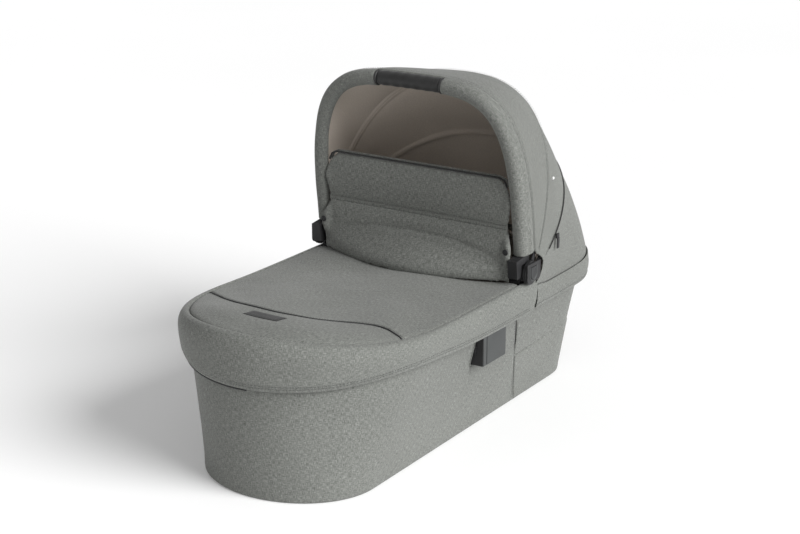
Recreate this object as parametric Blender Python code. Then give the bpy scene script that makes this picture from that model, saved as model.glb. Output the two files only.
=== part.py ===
"""Baby stroller carrycot: fabric body, apron, wind flap, folding hood and carry handle.

World frame: metres, +Z up, +Y towards the head end, -Y towards the foot end,
+X towards the right side. The origin is on the floor under the middle of the cot.
"""

from collections import namedtuple
from math import asin, atan2, cos, exp, hypot, pi, radians, sin

import bmesh
import bpy
from mathutils import Matrix, Vector

# Plan outlines. An oval has straight sides and superelliptic ends.
Oval = namedtuple("Oval", "half_width foot head foot_round head_round foot_power head_power")
Arch = namedtuple("Arch", "tilt half_width height power")

# Overall sizes
FOOT_END = -0.447          # foot end of the skirt's hem
HEAD_END = 0.447           # head end of the rear band's hem
RIM_HALF_WIDTH = 0.222     # half the width over the skirt's hem
BASE_HALF_WIDTH = 0.158    # half the width of the base
SIDE_RIM_Z = 0.255         # height of the rim seam along the sides
FOOT_RISE = 0.036          # how much higher the rim seam is at the foot
REAR_RIM_Z = 0.245         # height of the rear band's top edge
FOOT_RISE_POWER = 3.0      # how late the rim seam climbs towards the foot
HEM_Z = 0.196              # height of the skirt's hem along the sides
HEM_HUMP = 0.014           # how much the hem rises at the foot corners
HEM_HUMP_Y = -0.25
HEM_HUMP_SPREAD = 0.14
BULGE_SHARE = 0.6          # where the skirt is fullest, from hem to seam

# Clearances and walls
GAP = 0.0003               # between faces that touch
SLACK = 0.0010             # between soft layers
FABRIC = 0.003             # wall of the outer fabric and the liner
SKIRT_WALL = 0.004
BAND_SLIT = 0.002          # between the apron skirt and the rear band

# Base
FOOT_PAD_RADIUS = 0.012
FOOT_PAD_HEIGHT = 0.003
FOOT_PAD_X = 0.10
FOOT_PAD_Y = 0.29
TRAY_THICKNESS = 0.007
TRAY_INSET = 0.0045        # from the fabric's outside to the tray's edge
BOARD_THICKNESS = 0.004
MATTRESS_THICKNESS = 0.034
MATTRESS_CROWN = 0.004
MATTRESS_BULGE = 0.004      # how far its sides swell out between the piped edges
MATTRESS_FLAT_SHARE = 0.4   # where its crown ends, as a share of its half width

# Body walls
WALL_BOTTOM_Z = 0.0
WALL_BELLY_Z = 0.20
WALL_FLARE = 1.25          # how late the wall flares outwards
WALL_TOP_DROP = 0.014      # wall top below the rim seam
BODY_SPLIT_Y = 0.140       # end of the skirt and start of the rear band
SEAM_BOTTOM_Y = 0.174      # side seam between the foot and head fabric, at the base
SEAM_TOP_Y = 0.106         # the same seam at the wall's top
LINER_GAP = 0.0185         # from the outer wall's outside to the liner at the base
LINER_TOP_GAP = 0.022      # the same at the rim
LINER_TOP_DROP = 0.013
LINER_LEVELS = (0.0, 0.4, 1.0)  # heights of the liner rings, from its floor to its top

# Rim tube and stays
RIM_TUBE_RADIUS = 0.006
RIM_TUBE_INSET = 0.0115    # tube centre from the wall's outside
RIM_TUBE_DROP = 0.022      # tube centre below the rim seam
STAY_RADIUS = 0.0028
STAY_FOOT_Y = -0.235
STAY_HEAD_Y = 0.255

# Side frames and chassis adapters
FRAME_PLATE = 0.0035
FRAME_FOOT_Y = -0.085
FRAME_HEAD_Y = 0.165
FRAME_TOP_Z = 0.2235
ADAPTER_FOOT_Y = -0.025
ADAPTER_HEAD_Y = 0.050
ADAPTER_BOTTOM_Z = 0.139
ADAPTER_TOP_Z = 0.196
ADAPTER_BOTTOM_X = RIM_HALF_WIDTH - 0.0145  # outer face of the adapter at its bottom
ADAPTER_TOP_X = RIM_HALF_WIDTH - 0.0135     # outer face of the adapter at its top
WINDOW_MARGIN = 0.0022     # round the adapter in the fabric's window
SOCKET_LOW_X = 0.1905      # the socket for the chassis post in the adapter's underside
SOCKET_HIGH_X = 0.2025
SOCKET_FOOT_Y = -0.004
SOCKET_HEAD_Y = 0.036
SOCKET_TOP_Z = 0.170
LATCH_LENGTH = 0.011
LATCH_WIDTH = 0.010
LATCH_HEIGHT = 0.016
LATCH_PROUD = 0.0018
LATCH_TRAVEL = 0.0015

# Hood pivot and hinges
PIVOT_Y = 0.110
PIVOT_Z = 0.273
HINGE_INNER_X = 0.186
HINGE_INNER_WALL = 0.004
ARM_INNER_X = 0.1905
ARM_PLATE = 0.0125
ARM_DISC_RADIUS = 0.0145
COLUMN_INNER_X = 0.1965
COLUMN_OUTER_X = 0.2155
COLUMN_DEPTH = 0.019
COLUMN_FRONT_REACH = 0.034  # how far the column's shield stands in front of the pivot
COLUMN_SHIELD_LOW = 0.002  # its lower edge below the pivot
COLUMN_START = 0.0185      # distance of the column's lower face from the pivot
COLUMN_END = 0.031
HOUSING_RADIUS = 0.0165
HOUSING_OUTER_X = 0.2275
COVER_THICKNESS = 0.0022
COVER_FOOT_DEPTH = 0.020    # cover plate in front of the pivot
COVER_HEAD_DEPTH = 0.026    # and behind it
COVER_LOW = 0.0155         # below the pivot
COVER_HIGH = 0.0185        # and above it
COVER_CORNER = 0.008
HOUSING_FOOT_DEPTH = 0.025
HOUSING_FOOT_Z = 0.2465
HOUSING_FOOT_TOP_Z = 0.2575
HOUSING_WEB_X = 0.2075
HOUSING_WEB_TOP_Z = 0.262
PIN_RADIUS = 0.004
PIN_CLEARANCE = 0.0004
BUTTON_DEPTH = 0.006
BUTTON_PROUD = 0.0015
BUTTON_TRAVEL = 0.003
BUTTON_HALF_WIDTH = 0.0095
BUTTON_HALF_HEIGHT = 0.0115

# Hood: one arch for each bow, and the seam on the rim
FRONT_BOW = Arch(-7.0, 0.206, 0.320, 3.9)
FRONT_EDGE = Arch(-7.0, 0.2240, 0.331, 3.6)
MIDDLE_ARCH = Arch(25.7, 0.228, 0.336, 2.56)
REAR_ARCH = Arch(57.4, 0.2325, 0.318, 2.3)
RIM_ARCH = Arch(94.3, 0.2155, 0.320, 4.0)
HOOD_FABRIC = 0.0022
BAR_THICKNESS = 0.0025
BAR_WIDTH = 0.008
BAR_DROP = 0.0025          # bar below the fabric's inner face at its top
MIDDLE_BAR_X = 0.2200
REAR_BAR_X = 0.2232
BAR_RING_OUTER = 0.0215
LINING_DROP = 0.0135       # lining below the outer fabric
FRONT_PANEL_SHIFT = 0.0155 # front panel's edge behind the front bow's plane
PANEL_START = 0.034        # panels' ends above the pivot
SEAM_SLIT = 0.5            # degrees between neighbouring hood panels
PANEL_FULLNESS = 0.3       # 0 is stretched flat between bows, 1 is round
FRONT_TUBE_RADIUS = 0.0065
SLEEVE_RADIUS = 0.0125
HANDLE_RADIUS = 0.0115
HANDLE_HALF_LENGTH = 0.063
COLLAR_LENGTH = 0.005
HOOD_ZIP_WIDTH = 2.0       # degrees of arch that the hood zip covers
HOOD_ZIP_START = 0.060
PULL_LENGTH = 0.024
PULL_WIDTH = 0.006
PULL_THICKNESS = 0.0016
PULL_Y = 0.190
PULL_Z = 0.322
PULL_X = 0.2314

# Apron
APRON_THICKNESS = 0.004
LID_MARGIN = 0.0025        # between the apron's top and the skirt
APRON_CROWN = 0.003       # middle of the apron above its sides
FOOT_CROWN = 0.020         # how much fuller the apron is towards the foot
FOOT_CROWN_POWER = 8.0     # how late that fullness ends at the foot seam
# Where the foot zip crosses the apron, as x and y from the left side to the right.
ZIP_LINE_HALF_WIDTH = 0.2125  # half the rim width that the zip's points are set out on
ZIP_LINE = (
    (-0.206, -0.240),
    (-0.130, -0.288),
    (-0.068, -0.314),
    (-0.010, -0.320),
    (0.050, -0.306),
    (0.100, -0.272),
    (0.145, -0.250),
    (0.206, -0.262),
)
ZIP_WIDTH = 0.005
FOOT_LID_CENTRE_Y = -0.392  # a place from which the whole foot lid's edge can be seen
PATCH_HALF_WIDTH = 0.033
PATCH_FOOT_Y = -0.366
PATCH_HEAD_Y = -0.340
PATCH_THICKNESS = 0.001

# Wind flap
FLAP_THICKNESS = 0.010
FLAP_SIDE_Y = 0.087
FLAP_BOW = 0.052           # how far the flap's foot bows towards the foot end
FLAP_FOOT_Z = 0.262
FLAP_LEAN_SHARE = 0.6       # how far the lower panel has come up to the fold at its middle
FLAP_FOLD_Y = 0.096
FLAP_FOLD_Z = 0.352
FLAP_TOP_Z = 0.440
FLAP_POINT_Z = 0.395
FLAP_FOOT_HALF = 0.185
FLAP_SNAP_HALF = 0.185
FLAP_FOLD_HALF = 0.182
FLAP_POINT_HALF = 0.187
FLAP_TOP_HALF = 0.174
FLAP_HINGE_Y = 0.024
SNAP_RADIUS = 0.005
SNAP_PROUD = 0.002
SNAP_INSET = 0.008
SNAP_Z = 0.317
FLAP_PIPING_RADIUS = 0.0016

# How finely round shapes are divided
END_STEPS = 16
SIDE_STEPS = 6
ARCH_STEPS = 22
PANEL_STEPS = 3
TUBE_SIDES = 8
ROUND_SIDES = 24
LID_RINGS = (1.0, 0.75, 0.45, 0.12)
WALL_LEVELS = (0.0, 0.35, 0.7, 1.0)

SIDES = {"right": 1.0, "left": -1.0}

BELLY = Oval(RIM_HALF_WIDTH - 0.022, FOOT_END + 0.014, HEAD_END - 0.014, 0.22, 0.14, 2.0, 2.5)
BASE = Oval(BASE_HALF_WIDTH, FOOT_END + 0.031, HEAD_END - 0.032, 0.133, 0.10, 2.0, 2.5)
WALL_TOP = Oval(RIM_HALF_WIDTH - 0.018, FOOT_END + 0.029, HEAD_END - 0.027, 0.22, 0.155, 2.1, 2.5)
HEM = Oval(RIM_HALF_WIDTH - 0.003, FOOT_END + 0.004, HEAD_END - 0.003, 0.25, 0.16, 2.0, 2.5)
BULGE = Oval(RIM_HALF_WIDTH, FOOT_END, HEAD_END, 0.235, 0.165, 2.05, 2.5)
RIM = Oval(RIM_HALF_WIDTH - 0.0095, FOOT_END + 0.017, HEAD_END - 0.015, 0.27, 0.175, 2.2, 2.5)


# ---------------------------------------------------------------- outlines

def inset(oval, distance):
    """An oval moved inwards by a distance all round."""
    return Oval(
        oval.half_width - distance,
        oval.foot + distance,
        oval.head - distance,
        oval.foot_round - distance / 2,
        oval.head_round - distance / 2,
        oval.foot_power,
        oval.head_power,
    )


def mix_ovals(first, second, share):
    """The oval that lies a share of the way from the first to the second."""
    return Oval(*(a + (b - a) * share for a, b in zip(first, second)))


def power_point(angle, power):
    """A point on the unit superellipse."""
    across = abs(cos(angle)) ** (2 / power)
    along = abs(sin(angle)) ** (2 / power)
    return (across if cos(angle) >= 0 else -across), along


def foot_half(oval, start_y):
    """Plan points from the right side at start_y round the foot to the left side."""
    straight_end = oval.foot + oval.foot_round
    points = [
        (oval.half_width, start_y + (straight_end - start_y) * step / SIDE_STEPS)
        for step in range(SIDE_STEPS)
    ]
    for step in range(END_STEPS + 1):
        across, along = power_point(pi * step / END_STEPS, oval.foot_power)
        points.append((oval.half_width * across, straight_end - oval.foot_round * along))
    points += [
        (-oval.half_width, straight_end + (start_y - straight_end) * step / SIDE_STEPS)
        for step in range(1, SIDE_STEPS + 1)
    ]
    return points


def head_half(oval, start_y):
    """Plan points from the left side at start_y round the head to the right side."""
    straight_end = oval.head - oval.head_round
    points = [
        (-oval.half_width, start_y + (straight_end - start_y) * step / SIDE_STEPS)
        for step in range(SIDE_STEPS)
    ]
    for step in range(END_STEPS + 1):
        across, along = power_point(pi * step / END_STEPS, oval.head_power)
        points.append((-oval.half_width * across, straight_end + oval.head_round * along))
    points += [
        (oval.half_width, straight_end + (start_y - straight_end) * step / SIDE_STEPS)
        for step in range(1, SIDE_STEPS + 1)
    ]
    return points


def whole(oval, middle_y=0.0):
    """Plan points once round the oval."""
    return foot_half(oval, middle_y)[:-1] + head_half(oval, middle_y)[:-1]


def rim_z(y):
    """Height of the rim seam, which climbs towards the foot."""
    share = min(max(y / FOOT_END, 0.0), 1.0)
    return SIDE_RIM_Z + FOOT_RISE * share ** FOOT_RISE_POWER


def hem_z(y):
    """Height of the hem of the skirt and the rear band."""
    return HEM_Z + HEM_HUMP * exp(-(((y - HEM_HUMP_Y) / HEM_HUMP_SPREAD) ** 2))


def wall_oval(z):
    """Outside of the fabric wall at a height up to the belly."""
    share = max(z - WALL_BOTTOM_Z, 0.0) / (WALL_BELLY_Z - WALL_BOTTOM_Z)
    return mix_ovals(BASE, BELLY, share ** WALL_FLARE)


def liner_oval(z, depth=0.0):
    """Outside of the liner at a height, moved inwards by a depth."""
    share = min(z / SIDE_RIM_Z, 1.0)
    low = inset(BASE, LINER_GAP + depth)
    return mix_ovals(low, inset(WALL_TOP, LINER_TOP_GAP + depth), share)


# ---------------------------------------------------------------- mesh helpers

def clear_scene():
    """Remove every object of the scene."""
    for item in list(bpy.data.objects):
        bpy.data.objects.remove(item, do_unlink=True)


def make_material(name, color, roughness, metallic=0.0):
    """A Principled material of one colour."""
    made = bpy.data.materials.new(name)
    made.use_nodes = True
    shader = made.node_tree.nodes["Principled BSDF"]
    shader.inputs["Base Color"].default_value = (*color, 1.0)
    shader.inputs["Roughness"].default_value = roughness
    shader.inputs["Metallic"].default_value = metallic
    made.diffuse_color = (*color, 1.0)
    return made


def world_place(item):
    """World place of an unturned object or empty."""
    place = item.location.copy()
    while item.parent is not None:
        item = item.parent
        place += item.location
    return place


def add_object(name, mesh_builder, material, parent=None):
    """Turn a bmesh in world places into an object; on an empty, its origin is the empty's."""
    origin = Vector() if parent is None else world_place(parent)
    bmesh.ops.recalc_face_normals(mesh_builder, faces=mesh_builder.faces)
    bmesh.ops.translate(mesh_builder, verts=mesh_builder.verts, vec=-origin)
    mesh = bpy.data.meshes.new(name)
    mesh_builder.to_mesh(mesh)
    mesh_builder.free()
    mesh.shade_smooth()
    mesh.set_sharp_from_angle(angle=radians(35))
    mesh.materials.append(material)
    made = bpy.data.objects.new(name, mesh)
    made.parent = parent
    bpy.context.scene.collection.objects.link(made)
    return made


def joint_empty(name, place, parent=None):
    """An empty on a joint's axis, to carry a moving body."""
    empty = bpy.data.objects.new(name, None)
    empty.empty_display_size = 0.02
    empty.location = Vector(place) - (Vector() if parent is None else world_place(parent))
    empty.parent = parent
    bpy.context.scene.collection.objects.link(empty)
    return empty


def skin(rings, closed=False):
    """A bmesh that joins rings of points in order, with flat caps or back to the start."""
    builder = bmesh.new()
    add_skin(builder, rings, closed)
    return builder


def add_skin(builder, rings, closed=False):
    """Add the skin of a list of rings to a bmesh."""
    loops = [[builder.verts.new(point) for point in ring] for ring in rings]
    pairs = list(zip(loops, loops[1:]))
    if closed:
        pairs.append((loops[-1], loops[0]))
    for ring, following in pairs:
        for index, corner in enumerate(ring):
            after = (index + 1) % len(ring)
            builder.faces.new((corner, ring[after], following[after], following[index]))
    if not closed:
        builder.faces.new(loops[0])
        builder.faces.new(list(reversed(loops[-1])))


def prism(outline, axis_from, axis_to, place):
    """A bmesh of a flat outline pushed along an axis; place maps (a, b, along) to a point."""
    rings = [[place(a, b, along) for a, b in outline] for along in (axis_from, axis_to)]
    return skin(rings)


def circle(radius, sides, centre=(0.0, 0.0)):
    """Plan points of a circle."""
    return [
        (centre[0] + radius * cos(2 * pi * step / sides), centre[1] + radius * sin(2 * pi * step / sides))
        for step in range(sides)
    ]


def rectangle(low_a, high_a, low_b, high_b):
    """The four corners of a rectangle."""
    return [(low_a, low_b), (high_a, low_b), (high_a, high_b), (low_a, high_b)]


def resample(points, count):
    """Points at even distances along a polyline."""
    lengths = [0.0]
    for before, after in zip(points, points[1:]):
        lengths.append(lengths[-1] + (after - before).length)
    result = []
    index = 0
    for step in range(count):
        target = lengths[-1] * step / (count - 1)
        while index < len(points) - 2 and lengths[index + 1] < target:
            index += 1
        span = lengths[index + 1] - lengths[index]
        share = (target - lengths[index]) / span
        result.append(points[index].lerp(points[index + 1], share))
    return result


def tube_rings(path, radius, sides, side_hint, closed=False):
    """Circles round each point of a path; side_hint is across the path everywhere."""
    rings = []
    count = len(path)
    for index, point in enumerate(path):
        before = path[index - 1] if index or closed else point
        after = path[(index + 1) % count] if index < count - 1 or closed else point
        along = (after - before).normalized()
        across = (side_hint - along * side_hint.dot(along)).normalized()
        up = along.cross(across)
        rings.append(
            [
                point + across * (radius * cos(turn)) + up * (radius * sin(turn))
                for turn in (2 * pi * step / sides for step in range(sides))
            ]
        )
    return rings


def as_cutter(tool):
    """Mark an object as a Boolean's tool, which the model leaves out."""
    tool.hide_render = True
    tool.display_type = "WIRE"
    return tool


def combine(target, tool, operation):
    """Add a Boolean of a tool to an object."""
    modifier = target.modifiers.new(f"{operation.lower()}_{tool.name}", "BOOLEAN")
    modifier.operation = operation
    modifier.object = as_cutter(tool)
    modifier.solver = "EXACT"


def tool_from(name, builder, target):
    """A hidden tool that stands in the same place as its target."""
    tool = add_object(name, builder, target.data.materials[0])
    return as_cutter(tool)


# ---------------------------------------------------------------- hood geometry

def on_arch(x, reach, tilt):
    """World point at a distance from the pivot line, tilted back by degrees."""
    turn = radians(tilt)
    return Vector((x, PIVOT_Y + reach * sin(turn), PIVOT_Z + reach * cos(turn)))


def arch_path(arch, start, count, inwards=0.0):
    """Evenly spaced points over an arch, from the right side to the left."""
    width = arch.half_width - inwards
    height = arch.height - inwards
    first = asin(min((start / height) ** (arch.power / 2), 1.0))
    fine = 240
    points = []
    for step in range(fine + 1):
        angle = first + (pi - 2 * first) * step / fine
        across, along = power_point(angle, arch.power)
        points.append(on_arch(width * across, height * along, arch.tilt))
    return resample(points, count)


def hood_mix(first, second, share):
    """Between two points on neighbouring bows, part straight and part round the pivot line."""
    reaches = []
    turns = []
    for point in (first, second):
        reaches.append(hypot(point.y - PIVOT_Y, point.z - PIVOT_Z))
        turns.append(atan2(point.y - PIVOT_Y, point.z - PIVOT_Z))
    reach = reaches[0] + (reaches[1] - reaches[0]) * share
    turn = turns[0] + (turns[1] - turns[0]) * share
    straight = first.lerp(second, share)
    full = Vector((straight.x, PIVOT_Y + reach * sin(turn), PIVOT_Z + reach * cos(turn)))
    return straight.lerp(full, PANEL_FULLNESS)


def turned(arch, degrees):
    """The same arch tilted further back."""
    return arch._replace(tilt=arch.tilt + degrees)


def panel(name, first_edge, second_edge, material, parent):
    """A sheet of hood fabric between two edges; an edge gives points for a depth."""
    outer = (first_edge(0.0), second_edge(0.0))
    inner = (first_edge(HOOD_FABRIC), second_edge(HOOD_FABRIC))
    rings = []
    for index in range(ARCH_STEPS + 1):
        ring = []
        for edges, order in ((outer, 1), (inner, -1)):
            row = [
                hood_mix(edges[0][index], edges[1][index], step / PANEL_STEPS)
                for step in range(PANEL_STEPS + 1)
            ]
            ring += row[::order]
        rings.append(ring)
    return add_object(name, skin(rings), material, parent)


def edge_of(arch, drop=0.0, shift=0.0):
    """The edge of a panel on an arch, lowered by a drop and moved behind its plane."""
    def points(depth):
        path = arch_path(arch, PANEL_START, ARCH_STEPS + 1, drop + depth)
        turn = radians(arch.tilt)
        return [point + Vector((0.0, cos(turn), -sin(turn))) * shift for point in path]
    return points


# ---------------------------------------------------------------- base

def make_feet(material):
    """Four rubber pads under the tray."""
    for side_name, side in SIDES.items():
        for end_name, y in (("foot", -FOOT_PAD_Y), ("head", FOOT_PAD_Y)):
            outline = circle(FOOT_PAD_RADIUS, TUBE_SIDES * 2, (side * FOOT_PAD_X, y))
            rings = [[(a, b, z) for a, b in outline] for z in (0.0, FOOT_PAD_HEIGHT)]
            add_object(f"pad_{end_name}_{side_name}", skin(rings), material)


def layer_heights():
    """Lowest and highest level of the tray, the board and the mattress."""
    tray = FOOT_PAD_HEIGHT + GAP
    board = tray + TRAY_THICKNESS + GAP
    liner = board + BOARD_THICKNESS + GAP
    mattress = liner + FABRIC + GAP
    return tray, board, liner, mattress


def make_tray(material):
    """The moulded base tray, inside the fabric's foot."""
    low = layer_heights()[0]
    high = low + TRAY_THICKNESS
    chamfer = TRAY_THICKNESS / 3
    edge = whole(inset(BASE, TRAY_INSET))
    under = whole(inset(BASE, TRAY_INSET + chamfer))
    rings = [
        [(x, y, low) for x, y in under],
        [(x, y, low + chamfer) for x, y in edge],
        [(x, y, high) for x, y in edge],
    ]
    add_object("base_tray", skin(rings), material)


def make_floor_board(material):
    """The stiff board on the tray."""
    low = layer_heights()[1]
    edge = whole(inset(BASE, LINER_GAP + SLACK))
    rings = [[(x, y, z) for x, y in edge] for z in (low, low + BOARD_THICKNESS)]
    add_object("floor_board", skin(rings), material)


def make_liner(material):
    """The inner fabric tub, open at the top."""
    low = layer_heights()[2]
    outline = whole(liner_oval(low))
    tops = [rim_z(y) - LINER_TOP_DROP for _, y in outline]
    outer = []
    inner = []
    for share in LINER_LEVELS:
        outer.append(liner_ring(low, tops, share, 0.0))
        inner.append(liner_ring(low + FABRIC * (1 - share), tops, share, FABRIC))
    add_object("inner_liner", skin(outer + inner[::-1]), material)


def liner_ring(low, tops, share, depth):
    """One ring of the liner between its floor and its top edge."""
    level = low + (SIDE_RIM_Z - LINER_TOP_DROP - low) * share
    outline = whole(liner_oval(level, depth))
    return [(x, y, low + (top - low) * share) for (x, y), top in zip(outline, tops)]


def make_mattress(material):
    """The foam mattress on the liner's floor."""
    low = layer_heights()[3]
    high = low + MATTRESS_THICKNESS
    edge = liner_oval(low, FABRIC + SLACK + MATTRESS_BULGE)
    levels = (
        (low, MATTRESS_BULGE),
        (low + MATTRESS_THICKNESS / 4, 0.0),
        (high - MATTRESS_THICKNESS / 4, 0.0),
        (high - MATTRESS_CROWN, MATTRESS_BULGE),
        (high, edge.half_width * MATTRESS_FLAT_SHARE),
    )
    rings = [[(x, y, z) for x, y in whole(inset(edge, shrink))] for z, shrink in levels]
    add_object("mattress", skin(rings), material)


# ---------------------------------------------------------------- body walls

def wall_section(index, outlines, tops):
    """Cross-section of the fabric wall at one place of the outline."""
    outer = []
    inner = []
    for level, (outside, inside) in zip(WALL_LEVELS, outlines):
        z = WALL_BOTTOM_Z + (WALL_BELLY_Z - WALL_BOTTOM_Z) * level
        outer.append((*outside[index], z))
        inner.append((*inside[index], z))
    outside, inside = outlines[-1]
    outer.append((*outside[index], tops[index]))
    inner.append((*inside[index], tops[index]))
    return outer + inner[::-1]


def make_wall(name, half, material):
    """The outer fabric of the foot part or the head part."""
    gap = GAP * 2 if half is head_half else -GAP * 2
    outlines = []
    for level in WALL_LEVELS:
        start = SEAM_BOTTOM_Y + (SEAM_TOP_Y - SEAM_BOTTOM_Y) * level + gap
        oval = wall_oval(WALL_BOTTOM_Z + (WALL_BELLY_Z - WALL_BOTTOM_Z) * level)
        outlines.append((half(oval, start), half(inset(oval, FABRIC), start)))
    start = SEAM_TOP_Y + gap
    outlines.append((half(WALL_TOP, start), half(inset(WALL_TOP, FABRIC), start)))
    tops = [rim_z(y) - WALL_TOP_DROP for _, y in outlines[-1][0]]
    rings = [wall_section(index, outlines, tops) for index in range(len(tops))]
    return add_object(name, skin(rings), material)


def cut_windows(wall):
    """Cut the adapter windows out of both sides of the foot fabric."""
    box = rectangle(
        ADAPTER_FOOT_Y - WINDOW_MARGIN, ADAPTER_HEAD_Y + WINDOW_MARGIN,
        ADAPTER_BOTTOM_Z - WINDOW_MARGIN, ADAPTER_TOP_Z + WINDOW_MARGIN,
    )
    reach = RIM_HALF_WIDTH * 1.2
    builder = prism(box, -reach, reach, lambda y, z, x: (x, y, z))
    combine(wall, tool_from("window_cutter", builder, wall), "DIFFERENCE")


# ---------------------------------------------------------------- frame

def make_rim_tube(material):
    """The aluminium tube that runs round inside the rim."""
    path = [
        Vector((x, y, rim_z(y) - RIM_TUBE_DROP))
        for x, y in whole(inset(WALL_TOP, RIM_TUBE_INSET))
    ]
    rings = tube_rings(path, RIM_TUBE_RADIUS, TUBE_SIDES, Vector((0.0, 0.0, 1.0)), closed=True)
    add_object("rim_tube", skin(rings, closed=True), material)


def make_stays(material):
    """Four steel stays from the tray to the rim tube."""
    low_x = BASE_HALF_WIDTH - FABRIC - SLACK * 3 - STAY_RADIUS
    high_x = WALL_TOP.half_width - RIM_TUBE_INSET
    lean_rise = STAY_RADIUS * (high_x - low_x) / SIDE_RIM_Z
    bottom = layer_heights()[1] + GAP + lean_rise
    for side_name, side in SIDES.items():
        for end_name, y in (("foot", STAY_FOOT_Y), ("head", STAY_HEAD_Y)):
            top = rim_z(y) - RIM_TUBE_DROP - RIM_TUBE_RADIUS - SLACK
            path = [Vector((side * low_x, y, bottom)), Vector((side * high_x, y, top))]
            rings = tube_rings(path, STAY_RADIUS, TUBE_SIDES, Vector((0.0, 1.0, 0.0)))
            add_object(f"stay_{end_name}_{side_name}", skin(rings), material)


def frame_face(z):
    """Where the side frame's inner face lies at a height."""
    return liner_oval(z).half_width + SLACK


def make_side_frame(side_name, side, material):
    """The moulded plate that carries the hinge and the adapter on one side."""
    low = layer_heights()[1] + GAP
    outline = [
        (frame_face(low), low),
        (frame_face(FRAME_TOP_Z), FRAME_TOP_Z),
        (frame_face(FRAME_TOP_Z) + FRAME_PLATE, FRAME_TOP_Z),
        (frame_face(low) + FRAME_PLATE, low),
    ]
    builder = prism(outline, FRAME_FOOT_Y, FRAME_HEAD_Y, lambda x, z, y: (side * x, y, z))
    add_object(f"side_frame_{side_name}", builder, material)


def make_adapter(side_name, side, material, latch_material):
    """The chassis adapter and its sprung latch on one side."""
    inner_low = frame_face(ADAPTER_BOTTOM_Z) + FRAME_PLATE + GAP * 2
    inner_high = frame_face(ADAPTER_TOP_Z) + FRAME_PLATE + GAP * 2
    outline = [
        (inner_low, ADAPTER_BOTTOM_Z),
        (ADAPTER_BOTTOM_X, ADAPTER_BOTTOM_Z),
        (ADAPTER_TOP_X, ADAPTER_TOP_Z),
        (inner_high, ADAPTER_TOP_Z),
    ]
    builder = prism(outline, ADAPTER_FOOT_Y, ADAPTER_HEAD_Y, lambda x, z, y: (side * x, y, z))
    block = add_object(f"adapter_{side_name}", builder, material)
    middle_z = (ADAPTER_BOTTOM_Z + ADAPTER_TOP_Z) / 2
    middle_x = (inner_low + inner_high + ADAPTER_BOTTOM_X + ADAPTER_TOP_X) / 4
    depth = LATCH_LENGTH - LATCH_PROUD + LATCH_TRAVEL + SLACK
    half_width = LATCH_WIDTH / 2
    half_height = LATCH_HEIGHT / 2
    pocket = rectangle(
        middle_x - half_width - GAP, middle_x + half_width + GAP,
        middle_z - half_height - GAP, middle_z + half_height + GAP,
    )
    cutter = prism(
        pocket, ADAPTER_FOOT_Y - SLACK, ADAPTER_FOOT_Y + depth, lambda x, z, y: (side * x, y, z)
    )
    combine(block, tool_from(f"latch_pocket_{side_name}", cutter, block), "DIFFERENCE")
    socket = rectangle(SOCKET_LOW_X, SOCKET_HIGH_X, SOCKET_FOOT_Y, SOCKET_HEAD_Y)
    socket_builder = prism(
        socket, ADAPTER_BOTTOM_Z - SLACK, SOCKET_TOP_Z, lambda x, y, z: (side * x, y, z)
    )
    combine(block, tool_from(f"post_socket_{side_name}", socket_builder, block), "DIFFERENCE")
    tongue = rectangle(
        middle_x - half_width, middle_x + half_width, middle_z - half_height, middle_z + half_height
    )
    start = ADAPTER_FOOT_Y - LATCH_PROUD
    place = (side * middle_x, start, middle_z)
    empty = joint_empty(f"latch_slide_{side_name}", place)
    builder = prism(tongue, start, start + LATCH_LENGTH, lambda x, z, y: (side * x, y, z))
    add_object(f"adapter_latch_{side_name}", builder, latch_material, empty)


# ---------------------------------------------------------------- hinges

def across_x(side):
    """Places a prism's outline in the Y-Z plane and pushes it along X."""
    return lambda y, z, x: (side * x, y, z)


def disc(side, radius, low_x, high_x, sides=ROUND_SIDES):
    """A disc round the pivot between two distances from the middle plane."""
    return prism(circle(radius, sides, (PIVOT_Y, PIVOT_Z)), low_x, high_x, across_x(side))


def pivot_place(side, x):
    """A point on the hood's pivot line."""
    return (side * x, PIVOT_Y, PIVOT_Z)


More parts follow.
